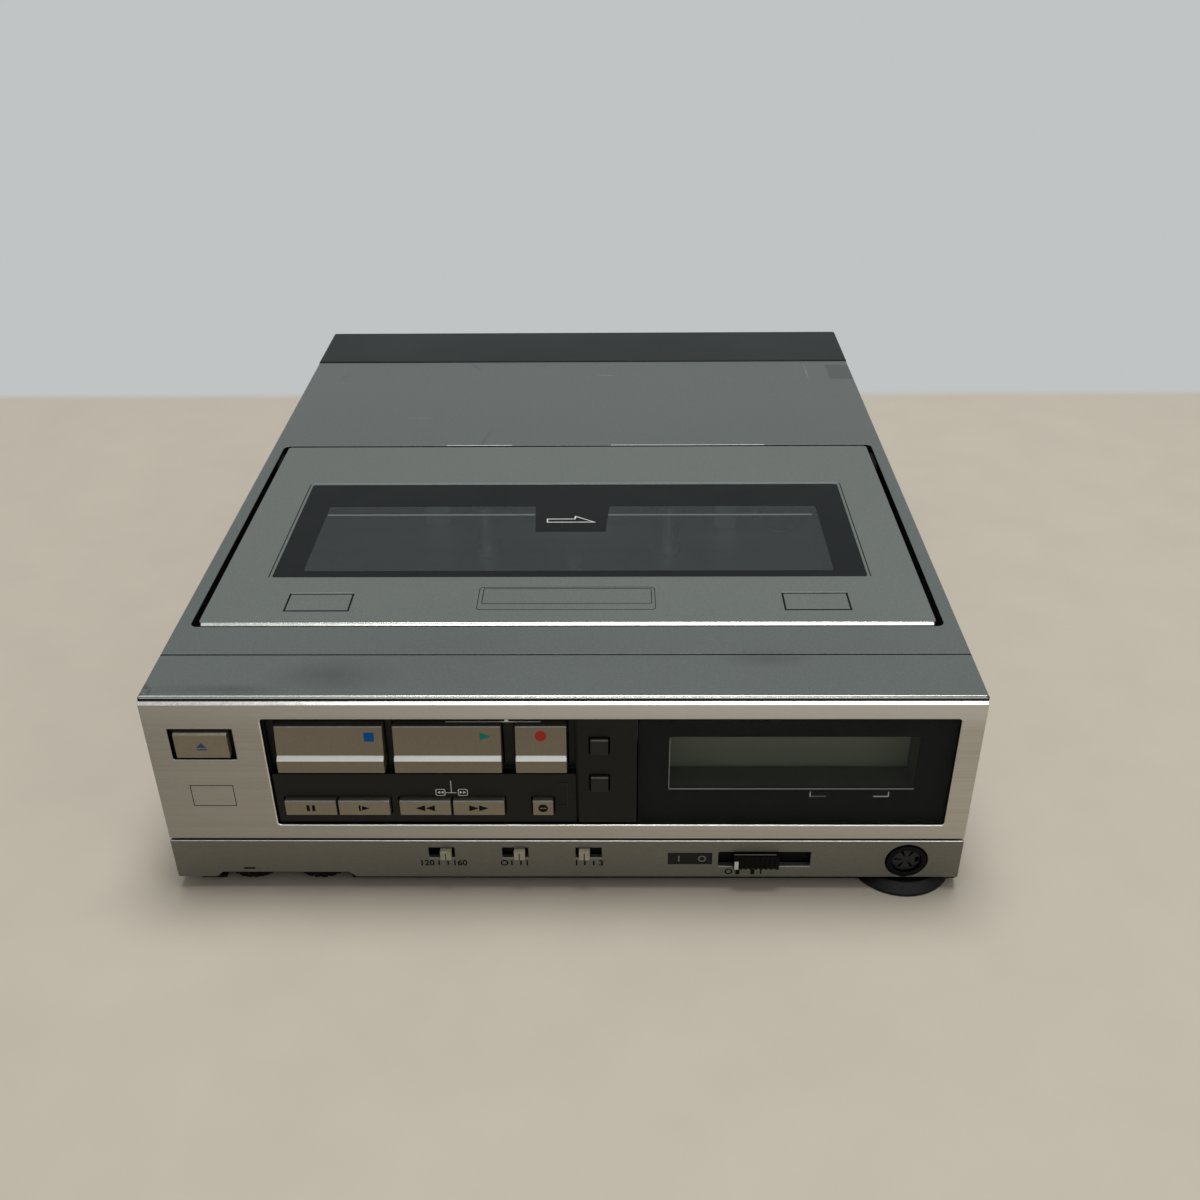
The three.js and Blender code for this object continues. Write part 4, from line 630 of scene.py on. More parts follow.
def rounded_node(node, width, finish=None, segments=2, paint=(), profile=None):
    """Stands for a CAD node with the same shape and rounded edges. paint gives other finishes
    to faces: each a finish, a test on a face's direction and, where only some of those faces
    are meant, a box in millimetres for their middles."""
    mesh = node_mesh(node)
    if profile:
        lean_back(mesh, profile)
    mesh = round_edges(mesh, width, segments)
    finish_mesh(mesh, finish or SLOT_OF[node])
    for index, (other, turned, *box) in enumerate(paint, 1):
        mesh.materials.append(FINISH[other])
        for face in mesh.polygons:
            if turned(face.normal) and (not box or inside(face.center, *box[0])):
                face.material_index = index
    return add_piece(node + "_shell", mesh, BODY_OF[node], SLOT_OF[node], node)


def merged(meshes):
    """Several meshes as one."""
    result = bpy.data.meshes.new("merged")
    with mesh_work(result, *meshes):
        return result


def tidied(mesh):
    """The mesh with its doubles merged and its faces turned outwards."""
    with mesh_work(mesh, mesh) as work:
        bmesh.ops.remove_doubles(work, verts=work.verts, dist=0.001 * MM)
        bmesh.ops.recalc_face_normals(work, faces=work.faces)
    return mesh


def sheet_of(loops, depth):
    """Flat shapes with holes, given as closed loops of points in millimetres, with a depth."""
    curve = bpy.data.curves.new("outline", "CURVE")
    curve.dimensions = "2D"
    curve.fill_mode = "BOTH"
    curve.extrude = depth / 2 * MM
    for loop in loops:
        spline = curve.splines.new("POLY")
        spline.points.add(len(loop) - 1)
        for point, (u, v) in zip(spline.points, loop):
            point.co = (u * MM, v * MM, 0, 1)
        spline.use_cyclic_u = True
    return tidied(plain_mesh(linked("outline", curve)))


def lathe(profile, sides=16):
    """A closed round body from (radius, height) points in millimetres, foot to top."""
    mesh = bpy.data.meshes.new("lathe")
    turn = 2 * math.pi / sides
    with mesh_work(mesh) as work:
        rings = [
            [work.verts.new((radius * MM * math.cos(i * turn), radius * MM * math.sin(i * turn),
                             height * MM)) for i in range(sides if radius else 1)]
            for radius, height in profile]
        for low, high in zip(rings, rings[1:]):
            for i in range(sides):
                j = (i + 1) % sides
                corners = [low[i % len(low)], low[j % len(low)],
                           high[j % len(high)], high[i % len(high)]]
                work.faces.new(list(dict.fromkeys(corners)))
        bmesh.ops.recalc_face_normals(work, faces=work.faces)
    smooth(mesh)
    mesh.set_sharp_from_angle(angle=math.radians(40))
    return mesh


def slab(x0, x1, y0, y1, z0, z1, edge=0.2):
    """A block with rounded edges, in millimetres."""
    mesh = bpy.data.meshes.new("slab")
    with mesh_work(mesh) as work:
        bmesh.ops.create_cube(work, size=1)
        for vert in work.verts:
            vert.co = at((x0 + x1) / 2 + vert.co.x * (x1 - x0),
                         (y0 + y1) / 2 + vert.co.y * (y1 - y0),
                         (z0 + z1) / 2 + vert.co.z * (z1 - z0))
    return round_edges(mesh, edge)


# Directions right, up and outwards of each face of the recorder
FACES = {
    "front": ((1, 0, 0), (0, 0, 1), (0, -1, 0)),
    "back": ((-1, 0, 0), (0, 0, 1), (0, 1, 0)),
    "left": ((0, -1, 0), (0, 0, 1), (-1, 0, 0)),
    "right": ((0, 1, 0), (0, 0, 1), (1, 0, 0)),
    "top": ((1, 0, 0), (0, 1, 0), (0, 0, 1)),
    "below": ((1, 0, 0), (0, -1, 0), (0, 0, -1)),
}


def turned_to(face):
    """The turn that lays a flat mesh on a face."""
    return Matrix(FACES[face]).transposed().to_4x4()


def facing(face, place):
    """The transform that lays a flat mesh on a face, with its origin at a place."""
    return Matrix.Translation(at(*place)) @ turned_to(face)


def lettering(text, x, z, height):
    """Plain figures as a mesh in millimetres, with their middle at a place on the sheet."""
    curve = bpy.data.curves.new("figures", "FONT")
    curve.body = text
    curve.align_x = "CENTER"
    curve.align_y = "CENTER"
    curve.size = height / FIGURE_SHARE * MM
    curve.offset = height * FIGURE_WEIGHT * MM
    curve.extrude = sizes().print_rise * MM
    mesh = plain_mesh(linked("figures", curve))
    mesh.transform(Matrix.Translation((x * MM, z * MM, 0)))
    return tidied(mesh)


def marks(name, finish, body, face, place, loops, slot="matt_black", depth=None):
    """Printed marks on a face, with loops in millimetres about a place on it."""
    mesh = sheet_of(loops, depth or sizes().print_rise * 2)
    mesh.transform(facing(face, place))
    return add_piece(name, finish_mesh(mesh, finish), body, slot)


def rectangle(x0, x1, y0, y1):
    return [(x0, y0), (x1, y0), (x1, y1), (x0, y1)]


def oval(x, y, radius, sides=24):
    step = 2 * math.pi / sides
    return [(x + radius * math.cos(i * step), y + radius * math.sin(i * step))
            for i in range(sides)]


def soft_rectangle(x0, x1, y0, y1, radius):
    """A rectangle with round corners."""
    points = []
    steps = 4
    for cx, cy, start in ((x1 - radius, y1 - radius, 0), (x0 + radius, y1 - radius, 90),
                          (x0 + radius, y0 + radius, 180), (x1 - radius, y0 + radius, 270)):
        for i in range(steps + 1):
            angle = math.radians(start + 90 * i / steps)
            points.append((cx + radius * math.cos(angle), cy + radius * math.sin(angle)))
    return points


def outline(x0, x1, y0, y1, line, radius=0.0):
    """A thin frame: an outer loop and the hole in it."""
    if radius:
        return [soft_rectangle(x0, x1, y0, y1, radius),
                soft_rectangle(x0 + line, x1 - line, y0 + line, y1 - line, radius - line / 2)]
    return [rectangle(x0, x1, y0, y1),
            rectangle(x0 + line, x1 - line, y0 + line, y1 - line)]


# ---------------------------------------------------------------- repeated parts


def new_tree(name, inputs):
    """A Geometry Nodes tree with named inputs, and a way to add nodes to it."""
    tree = bpy.data.node_groups.new(name, "GeometryNodeTree")
    tree.interface.new_socket("Geometry", in_out="INPUT", socket_type="NodeSocketGeometry")
    tree.interface.new_socket("Geometry", in_out="OUTPUT", socket_type="NodeSocketGeometry")
    for label, kind in inputs:
        tree.interface.new_socket(label, in_out="INPUT", socket_type=kind)

    add = functools.partial(add_node, tree)
    return tree, add, add("NodeGroupInput"), add("NodeGroupOutput")


def finish_tree(tree, add, given, result, copies):
    """Ends a tree with real copies in the given finish."""
    real = add("GeometryNodeRealizeInstances", {"Geometry": copies.outputs[0]})
    painted = add("GeometryNodeSetMaterial", {
        "Geometry": real.outputs[0], "Material": given.outputs["Finish"]})
    tree.links.new(painted.outputs[0], result.inputs[0])
    return tree


def repeat_tree():
    """Copies an item along a row, or round a ring where the ring radius is not 0."""
    tree, add, given, result = new_tree("repeat_item", [
        ("Count", "NodeSocketInt"), ("Step", "NodeSocketVector"),
        ("Ring radius", "NodeSocketFloat"), ("Item", "NodeSocketObject"),
        ("Finish", "NodeSocketMaterial"),
    ])
    item = add("GeometryNodeObjectInfo", {"Object": given.outputs["Item"]}).outputs["Geometry"]
    row = add("GeometryNodeMeshLine", {
        "Count": given.outputs["Count"], "Offset": given.outputs["Step"]}, mode="OFFSET")
    part_turn = add("ShaderNodeMath", {0: 2 * math.pi, 1: given.outputs["Count"]},
                    operation="DIVIDE").outputs[0]
    index = add("GeometryNodeInputIndex").outputs[0]
    angle = add("ShaderNodeMath", {0: part_turn, 1: index}, operation="MULTIPLY").outputs[0]
    on_ring = add("ShaderNodeMath", {0: given.outputs["Ring radius"], 1: 0.0},
                  operation="GREATER_THAN").outputs[0]
    turned = add("ShaderNodeMath", {0: angle, 1: on_ring}, operation="MULTIPLY").outputs[0]
    turn = add("ShaderNodeCombineXYZ", {"Z": turned}).outputs[0]
    out = add("ShaderNodeCombineXYZ", {"X": given.outputs["Ring radius"]}).outputs[0]
    swung = add("ShaderNodeVectorRotate", {"Vector": out, "Rotation": turn},
                rotation_type="EULER_XYZ").outputs[0]
    moved = add("GeometryNodeSetPosition", {"Geometry": row.outputs[0], "Offset": swung})
    copies = add("GeometryNodeInstanceOnPoints", {
        "Points": moved.outputs[0], "Instance": item, "Rotation": turn})
    return finish_tree(tree, add, given, result, copies)


def places_tree():
    """Copies an item onto each point of a mesh."""
    tree, add, given, result = new_tree("item_at_places", [
        ("Item", "NodeSocketObject"), ("Size", "NodeSocketFloat"),
        ("Finish", "NodeSocketMaterial")])
    item = add("GeometryNodeObjectInfo", {"Object": given.outputs["Item"]}).outputs["Geometry"]
    copies = add("GeometryNodeInstanceOnPoints", {
        "Points": given.outputs["Geometry"], "Instance": item, "Scale": given.outputs["Size"]})
    return finish_tree(tree, add, given, result, copies)


TREE_MAKERS = {"repeat": repeat_tree, "places": places_tree}
TREES = {}


def run_tree(kind, base, item_mesh, values):
    """Runs one of the trees on a base mesh and returns the plain mesh it makes."""
    if kind not in TREES:
        TREES[kind] = TREE_MAKERS[kind]()
    item = linked("item", item_mesh)
    carrier = linked("carrier", base)
    modifier = carrier.modifiers.new(kind, "NODES")
    modifier.node_group = TREES[kind]
    values = dict(values, Item=item)
    for socket in TREES[kind].interface.items_tree:
        if socket.in_out == "INPUT" and socket.name in values:
            modifier[socket.identifier] = values[socket.name]
    mesh = plain_mesh(carrier)
    bpy.data.objects.remove(item)
    return mesh


def in_row(item, count, step, finish, ring=0.0):
    """Copies of a mesh in a row with a step, or in a ring with a radius, in millimetres."""
    return run_tree("repeat", bpy.data.meshes.new("start"), item, {
        "Count": count, "Step": [value * MM for value in step], "Ring radius": ring * MM,
        "Finish": FINISH[finish]})


def at_places(item, places, finish):
    """Copies of a mesh at places, in metres."""
    base = bpy.data.meshes.new("places")
    base.from_pydata([tuple(place) for place in places], [], [])
    return run_tree("places", base, item, {"Size": 1.0, "Finish": FINISH[finish]})


def screw_head(radius):
    """A screw head with a cross-shaped recess, facing up."""
    arm, width = radius * 0.62, radius * 0.16
    cross = [(-width, -arm), (width, -arm), (width, -width), (arm, -width), (arm, width),
             (width, width), (width, arm), (-width, arm), (-width, width), (-arm, width),
             (-arm, -width), (-width, -width)]
    top = sheet_of([oval(0, 0, radius), cross], SCREW_HEIGHT * 0.6)
    top.transform(Matrix.Translation((0, 0, SCREW_HEIGHT * 0.7 * MM)))
    foot = SCREW_HEIGHT * 0.42
    under = lathe([(0, 0), (radius, 0), (radius, foot), (0, foot)], 24)
    return merged([round_edges(top, radius * 0.08), under])


def screws(name, face, spots, radius, finish):
    """Screw heads on a face of the cabinet, each at a place in millimetres."""
    head = screw_head(radius)
    head.transform(turned_to(face))
    add_piece(name, at_places(head, [at(*spot) for spot in spots], finish), "cabinet", finish)


# ---------------------------------------------------------------- the pieces


class RecorderStep:
    """What the steps share: they run without a selection and can be undone."""

    bl_options = {"REGISTER", "UNDO"}


class RECORDER_OT_finishes(RecorderStep, bpy.types.Operator):
    """Make all finishes and give each CAD node the one of its slot"""

    bl_idname = "recorder.finishes"
    bl_label = "Finishes"

    def execute(self, context):
        make_finishes()
        for node, piece in frame["nodes"].items():
            for slot in piece.material_slots:
                slot.material = FINISH[SLOT_OF[node]]
        return {"FINISHED"}


class RECORDER_OT_covers(RecorderStep, bpy.types.Operator):
    """Painted covers, the black rear housing and the tray"""

    bl_idname = "recorder.covers"
    bl_label = "Covers and tray"

    def execute(self, context):
        # Painted shade: the band's front face is black as the inside of the groove; its top front
        # edge gets a painted highlight
        rounded_node("front_cover_band", 0.3, paint=[
            ("matt_black", is_front),
            ("bright_edge", is_top_edge, (-107, 107, 1, 2.2, 59, 61))])
        # Painted shade: the walls of the lid's opening, the edge at the seam behind the band and
        # the edge in front of the lid are black, as the shade in these gaps
        rounded_node("top_cover", 0.15, paint=[
            ("matt_black", is_upright, (-104, 104, 33, 153, 0, 61)),
            ("matt_black", lambda way: way.y < -0.5, (-108, 108, 20, 20.9, 0, 61)),
            ("matt_black", lambda way: way.y > 0.2, (-104, 104, 33.9, 34.25, 59.8, 61))])
        # A painted highlight along the cover's edge behind the lid
        marks("cover_light_line", "print_white", "cabinet", "top", (0, 0, TOP), [
            rectangle(-46, -23, 151.9, 152.3), rectangle(12, 66, 151.9, 152.3)],
              slot="cabinet_paint")
        rounded_node("rear_housing", sizes().cover_edge, "housing_black")
        rounded_node("bottom_tray", 0.25, segments=1)
        ribs = in_row(slab(-0.6, 0.6, 0, 96, 0, 0.8, 0.3), 13, (10, 0, 0), "matt_black")
        ribs.transform(Matrix.Translation(at(-60, 70, -3.1) - at(0, 0, 0)))
        add_piece("tray_ribs", ribs, "cabinet", "matt_black")
        return {"FINISHED"}


class RECORDER_OT_feet(RecorderStep, bpy.types.Operator):
    """Round rubber feet"""

    bl_idname = "recorder.feet"
    bl_label = "Feet"

    def execute(self, context):
        for node in sorted(n for n in frame["nodes"] if n.startswith("foot_")):
            rounded_node(node, 0.4, segments=3)
        return {"FINISHED"}


class RECORDER_OT_front_panels(RecorderStep, bpy.types.Operator):
    """Brushed upper panel, painted lower panel and the marks on both"""

    bl_idname = "recorder.front_panels"
    bl_label = "Front panels"

    def execute(self, context):
        edge = sizes().panel_edge
        # Painted highlights on the leaning top edge and on the window's left and bottom edges;
        # painted shade in the groove at the top and the gap at the foot
        rounded_node("front_panel", edge, segments=3, profile=PANEL_TOP, paint=[
            ("matt_black", lambda way: way.y > -0.3, (-106.5, 106.5, -1, 2, 14.6, 59.2)),
            ("bright_edge", lambda way: way.y < -0.5, (-108, 108, -1, 2, 58.5, 59.36)),
            ("bright_edge", lambda way: way.y < -0.2 and way.x > 0.2, (-78, -76, -1, 1, 19, 54)),
            ("bright_edge", lambda way: way.y < -0.2 and way.z > 0.2,
             (-78, 102, -1, 1, 18, 19.2)),
            ("matt_black", lambda way: way.z > -0.2, (-108, 108, -1, 2, 59.3, 60)),
            ("matt_black", lambda way: way.z < -0.3, (-106.8, 106.8, -1, 2, 13.8, 14.6))])
        # Painted shade on the walls of the slots, all but their floors that face up, and a painted
        # highlight along the top edge
        rounded_node("lower_front_panel", edge, segments=3, paint=[
            ("matt_black", lambda way: way.y > -0.3 and way.z < 0.5,
             (-106.5, 106.5, -1, 2, 2.2, 12.7)),
            ("bright_edge", is_top_edge, (-107, 107, -1, 1, 12.9, 14))])
        marks("badge_outline", "print_black", "cabinet", "front", (0, 0, 0),
              outline(-98.3, -86.9, 25.6, 32.6, 0.18), slot="aluminium")
        return {"FINISHED"}


def key_symbol(name, loops, finish, face_y, lean=0.0, foot=0.0):
    """A symbol printed on a key's face, which may lean back above its foot."""
    piece = marks(name + "_symbol", finish, BODY_OF[name], "front", (0, face_y, 0), loops,
                  slot=SLOT_OF[name])
    for vert in piece.data.vertices:
        vert.co.y += (vert.co.z - BASE - foot * MM) * lean


def triangle(x, z, width, height):
    return [(x - width / 2, z - height / 2), (x + width / 2, z), (x - width / 2, z + height / 2)]


class RECORDER_OT_keys(RecorderStep, bpy.types.Operator):
    """Keys with their symbols, their bezel and the eject key"""

    bl_idname = "recorder.keys"
    bl_label = "Keys"

    def execute(self, context):
        edge = sizes().key_edge
        rounded_node("key_bezel", 0.15, paint=[("dark_panel", is_front)])
        for node in ("stop_key", "play_key", "record_key"):
            # The shaded copy of the key paint, with painted highlights on the sloping ledges and on
            # the top edges above them
            rounded_node(node, edge, "tall_key_paint", paint=[
                ("ledge_white", is_ledge), ("lid_light", is_top_edge, ABOVE_LEDGES)])
        # Painted highlight on the small keys' top edges
        for node in ("pause_key", "slow_key", "rewind_key", "fast_forward_key", "insert_key"):
            rounded_node(node, edge, paint=[("lid_light", is_top_edge)])
        rounded_node("eject_key", edge)
        # Painted highlight on the top edges of the reset and memory keys
        for node in ("reset_key", "memory_key"):
            rounded_node(node, edge, paint=[("print_grey", is_top_edge)])
        for node, loops, finish in (
                ("stop_key", [rectangle(-51.0, -48.4, 46.6, 49.2)], "print_blue"),
                ("play_key", [triangle(-19.8, 48.1, 2.9, 2.2)], "print_teal"),
                ("record_key", [oval(-5.6, 48.2, 1.5)], "print_red")):
            key_symbol(node, loops, finish, 0, KEY_LEAN, KEY_LEDGE)
        for node, shapes in (
                ("pause_key", lambda x, z: [rectangle(x - 1.15, x - 0.32, z - 1.0, z + 1.0),
                                            rectangle(x + 0.32, x + 1.15, z - 1.0, z + 1.0)]),
                ("slow_key", lambda x, z: [rectangle(x - 1.45, x - 0.95, z - 1.0, z + 1.0),
                                           triangle(x + 0.4, z, 2.1, 1.5)]),
                ("rewind_key", lambda x, z: [triangle(x - 1.3, z, -2.5, 2.0),
                                             triangle(x + 1.3, z, -2.5, 2.0)]),
                ("fast_forward_key", lambda x, z: [triangle(x - 1.3, z, 2.5, 2.0),
                                                   triangle(x + 1.3, z, 2.5, 2.0)]),
                ("insert_key", lambda x, z: [oval(x, z, 1.3),
                                             rectangle(x - 0.9, x + 0.9, z - 0.17, z + 0.17)])):
            key_symbol(node, shapes(middle_of(node), KEY_ROW), "print_black", SMALL_KEY_FACE)
        key_symbol("eject_key", [
            [(-94.1, 45.5), (-91.5, 45.5), (-92.8, 47.0)], rectangle(-94.1, -91.5, 44.7, 45.1)],
            "print_navy", EJECT_FACE)
        return {"FINISHED"}


class RECORDER_OT_bezel_marks(RecorderStep, bpy.types.Operator):
    """Thin printed lines that group the keys"""

    bl_idname = "recorder.bezel_marks"
    bl_label = "Key panel marks"

    def execute(self, context):
        line = 0.2
        boxes = []
        for left, way in ((-33.9, -1), (-28.0, 1)):
            boxes += outline(left, left + 2.6, 28.5, 30.8, line, 0.5)
            for step in (0.85, 1.75):
                boxes.append(triangle(left + step, 29.65, 0.75 * way, 1.0))
        marks("key_panel_lines", "print_white", "cabinet", "front", (0, WELL_STEP, 0), [
            rectangle(-29.8, -29.8 + line, 29.65, 33.6), rectangle(-31.2, -28.4, 29.45, 29.65),
            *boxes])
        marks("insert_bracket", "print_dim", "cabinet", "front", (0, WELL_STEP, 0), [
            rectangle(-1.4, 0.9, 32.5, 32.5 + line), rectangle(0.7, 0.9, 25.2, 32.5),
            rectangle(-1.7, 0.9, 25.0, 25.2)])
        # Printed lines over the keys, in the near white of the painted highlights, brighter than
        # their ink against the shade in the well
        marks("key_group_lines", "ledge_white", "cabinet", "front", (0, WELL_BACK, 0), [
            rectangle(-30.1, -5.6, 50.9, 50.9 + line), rectangle(-30.1, -30.1 + line, 50.2, 50.9),
            rectangle(-5.6 - line, -5.6, 50.2, 50.9), rectangle(-14.9, -13.9, 51.1, 51.7)])
        return {"FINISHED"}


class RECORDER_OT_display(RecorderStep, bpy.types.Operator):
    """Smoked display lens, its tunnel with a painted highlight on its edge, the display glass and
    its mark
    """

    bl_idname = "recorder.display"
    bl_label = "Display"

    def execute(self, context):
        rounded_node("display_lens", 0.18, "lens_dark")
        rounded_node("display_frame", 0.2, paint=[
            ("tunnel_grey", lambda way: abs(way.y) < 0.5, (27, 93, 2.8, 12, 29, 47))])
        rounded_node("display_glass", 0.1)
        line = 0.22
        marks("display_mark", "print_white", "cabinet", "front", (0, 0.27, 0), [
            rectangle(64.5, 68.8, 28.6, 28.6 + line), rectangle(64.5, 64.5 + line, 28.6, 30.2),
            rectangle(81.2, 85.2, 28.6, 28.6 + line), rectangle(85.2 - line, 85.2, 28.6, 30.2),
        ])
        # A painted highlight on the tunnel's front edge, behind the lens
        marks("tunnel_rim", "print_white", "cabinet", "front", (0, 2.5, 0),
              [rectangle(27.6, 92.2, 29.25, 29.6), rectangle(27.5, 27.7, 29.6, 46.0)])
        return {"FINISHED"}


class RECORDER_OT_switches(RecorderStep, bpy.types.Operator):
    """Slide switches, the power switch, the trimmer wheels and their marks"""

    bl_idname = "recorder.switches"
    bl_label = "Switches"

    def execute(self, context):
        for node in ("function_slider_1", "function_slider_2", "function_slider_3"):
            rounded_node(node, 0.15, paint=[
                ("matt_black", any_way, (-200, 200, 1.9, 99, -99, 99))])
            x = middle_of(node)
            marks(node + "_line", "print_dim", node, "front", (0, -1.3, 0),
                  [rectangle(x - 0.15, x + 0.15, 7.5, 9.9)], slot="knob")
        rounded_node("power_slider", 0.08, "knob_black", segments=1)
        for node in ("tracking_wheel", "slow_tracking_wheel"):
            rounded_node(node, 0.1, "print_black", segments=1)
        ticks = [rectangle(x, x + 0.45, 4.5, 6.1)
                 for left in (-34.9, -15.0, 4.9) for x in (left, left + 2.45)]
        ticks += [rectangle(x, x + 1.1, 1.2, 3.1) for x in (46.3, 50.4)]
        ticks.append(rectangle(-88.5, -85.4, 3.0, 3.6))
        marks("switch_marks", "print_black", "cabinet", "front", (0, 0, 0), ticks)
        figures = [lettering(figure, x, z, 1.9) for figure, x, z in (
            ("120", -38.0, 5.25), ("160", -29.0, 5.25), ("O", -16.8, 5.25), ("I", -10.6, 5.25),
            ("1", 2.9, 5.25), ("3", 9.6, 5.25), ("O", 44.4, 2.15), ("I", 53.2, 2.15))]
        mesh = merged(figures)
        mesh.transform(facing("front", (0, 0, 0)))
        add_piece("switch_figures", finish_mesh(mesh, "print_black"), "cabinet", "matt_black")
        marks("power_plate", "dark_panel", "cabinet", "front", (0, 0, 0),
              [rectangle(27.7, 39.8, 4.9, 9.05)])
        marks("power_plate_marks", "print_grey", "cabinet", "front", (0, -0.05, 0), [
            rectangle(30.5, 30.9, 5.9, 8.0), oval(37.0, 6.95, 1.1, 20), oval(37.0, 6.95, 0.75, 20)])
        marks("power_knob_mark", "print_white", "power_slider", "front", (0, -1.72, 0),
              [rectangle(45.75, 46.8, 4.6, 7.4)], slot="knob")
        # A painted highlight along the knob's top edge
        marks("power_knob_edge", "print_grey", "power_slider", "front", (0, -1.72, 0),
              [rectangle(45.5, 56.9, 9.85, 10.10)], slot="knob")
        return {"FINISHED"}


class RECORDER_OT_sockets(RecorderStep, bpy.types.Operator):
    """Round sockets with their contacts"""

    bl_idname = "recorder.sockets"
    bl_label = "Sockets"

    def execute(self, context):
        rounded_node("remote_socket", 0.25, "print_black")
        slits = []
        for angle in (60, 115, 178, 235, 305):
            away = Vector((math.cos(math.radians(angle)), math.sin(math.radians(angle))))
            across = Vector((-away.y, away.x))
            slits.append([tuple(point) for point in (
                away * 1.2 - across * 0.16, away * 3.2 - across * 0.42,
                away * 3.2 + across * 0.42, away * 1.2 + across * 0.16)])
        disc = sheet_of([oval(0, 0, 3.85, 40), *slits, rectangle(2.5, 3.5, -0.9, 0.9)], 0.5)
        disc.transform(facing("front", (92.5, 0.9, 6.1)))
        add_piece("remote_socket_face", finish_mesh(round_edges(disc, 0.06, 1), "socket_grey"),
                  "cabinet", "matt_black")
        rounded_node("camera_socket", 0.3)
        pin = lathe([(0, 0), (0.5, 0), (0.5, 3.6), (0.3, 4.2), (0, 4.3)], 10)
        outer = in_row(pin, 7, (0, 0, 0), "gold", ring=4.6)
        inner = in_row(pin, 3, (0, 0, 0), "gold", ring=1.9)
        pins = merged([outer, inner])
        pins.transform(facing("left", (-99.3, REAR_BAY, 30.25)))
        add_piece("camera_socket_pins", finish_mesh(pins, "gold"), "cabinet", "machined")
        return {"FINISHED"}


class RECORDER_OT_lid(RecorderStep, bpy.types.Operator):
    """Lid with its pads, label outline and window"""

    bl_idname = "recorder.lid"
    bl_label = "Lid"

    def execute(self, context):
        body = BODY_OF["lid"]
        # Painted shade: the lid's front wall and the walls of its window opening are black, as the
        # shade in these gaps; the opening's rear wall takes the mask's tone over its shade, and the
        # front edge gets a painted highlight
        rounded_node("lid", 0.2, "lid_paint", paint=[
            ("matt_black", lambda way: is_upright(way) and is_front(way)),
            ("matt_black", is_upright, (-87, 87, 60, 122.5, 0, 61)),
            ("print_smoke", is_front, (-90, 90, 118, 124, 0, 61)),
            ("bright_edge", is_top_edge, (-101, 101, 35, 36.3, 58, 61))])
        rounded_node("lid_window", 0.12)
        pane_top = (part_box("lid_window")[1].z - BASE) / MM
        film = slab(-79.5, 79.0, 63.5, 106.6, pane_top + 0.01, pane_top + 0.06, 0.01)
        add_piece("window_film", finish_mesh(film, "smoke_film"), body, "smoked_lens")
        marks("window_print", "print_smoke", body, "top", (0, 0, pane_top + 0.09), [
            rectangle(-87.9, 87.9, 59.9, 122.1),
            [(-78.3, 64.5), (77.6, 64.5), (77.6, 105.6), (11.7, 105.6), (10.5, 88.5),
             (-11.2, 88.5), (-12.0, 105.6), (-78.3, 105.6)],
        ], slot="gloss_black", depth=0.04)
        # A painted highlight on the pane: the lit edge of the cassette holder seen through it
        marks("window_glint", "print_glint", body, "top", (0, 0, pane_top + 0.09), [
            rectangle(-77.9, -12.0, 99.3, 100.3), rectangle(11.3, 75.8, 99.1, 100.1)],
              slot="gloss_black", depth=0.04)
        line = 0.4
        left, right, tip, foot, neck, top = -8.0, 7.5, 0.8, 94.5, 97.0, 98.9
        arrow = [(left, foot), (right, foot), (tip, top), (tip - 0.2, neck), (left, neck)]
        inner = [(left + line, foot + line), (right - 2.6 * line, foot + line),
                 (tip + line, top - 1.9 * line), (tip - 0.2 + line, neck - line),
                 (left + line, neck - line)]
        marks("window_arrow", "print_white", body, "top", (0, 0, pane_top + 0.13), [arrow, inner],
              slot="gloss_black", depth=0.04)
        marks("lid_lines", "print_black", body, "top", (0, 0, TOP), [
            *outline(-79.4, -60.9, 42.0, 51.6, 0.55), *outline(60.7, 79.5, 42.3, 51.7, 0.55),
            *outline(-25.4, 24.9, 42.7, 55.0, 0.2, 1.2), *outline(-24.2, 23.9, 46.0, 54.2, 0.22),
            rectangle(-87.9, -87.6, 60.8, 121.6), rectangle(87.6, 87.9, 60.8, 121.6),
        ], slot="cabinet_paint")
        # Painted highlights along the rear edges of the pads and of the window
        marks("lid_light_lines", "lid_light", body, "top", (0, 0, TOP), [
            rectangle(-79.2, -61.1, 51.6, 51.95), rectangle(60.9, 79.3, 51.7, 52.05),
            rectangle(-86.8, 86.8, 121.9, 122.2)], slot="cabinet_paint")
        return {"FINISHED"}


class RECORDER_OT_holder(RecorderStep, bpy.types.Operator):
    """Cassette holder with a painted highlight on its edge, the hinge shaft and the latch"""

    bl_idname = "recorder.holder"
    bl_label = "Cassette holder"

    def execute(self, context):
        rounded_node("cassette_holder", 0.2, segments=1)
        # A thin steel edge of the holder with a painted highlight on it
        edge = slab(-86, 86, 106.4, 107.2, 55.7, 55.95, 0.08)
        add_piece("holder_edge", finish_mesh(edge, "bright_edge"), BODY_OF["cassette_holder"],
                  "steel")
        # Painted shade: the steel shaft is dark, as its ends show in the lid's shaded side gaps
        rounded_node("lid_hinge_shaft", 0.15, "dark_key")
        rounded_node("lid_latch", 0.3)
        return {"FINISHED"}


class RECORDER_OT_deck(RecorderStep, bpy.types.Operator):
    """Deck plate, reels and the reel drive"""

    bl_idname = "recorder.deck"
    bl_label = "Tape deck"

    def execute(self, context):
        # Painted shade: the frame's steel posts near the sides are black where they show in the
        # lid's side gaps
        rounded_node("deck_frame", 0.15, segments=1, paint=[
            ("matt_black", any_way, (-200, -98, -99, 999, 40, 99)),
            ("matt_black", any_way, (98, 200, -99, 999, 40, 99))])
        for node, width in (("supply_reel", 0.3), ("takeup_reel", 0.3), ("idler_arm", 0.15),
                            ("idler_wheel", 0.3), ("reel_motor", 0.4)):
            rounded_node(node, width)
        return {"FINISHED"}


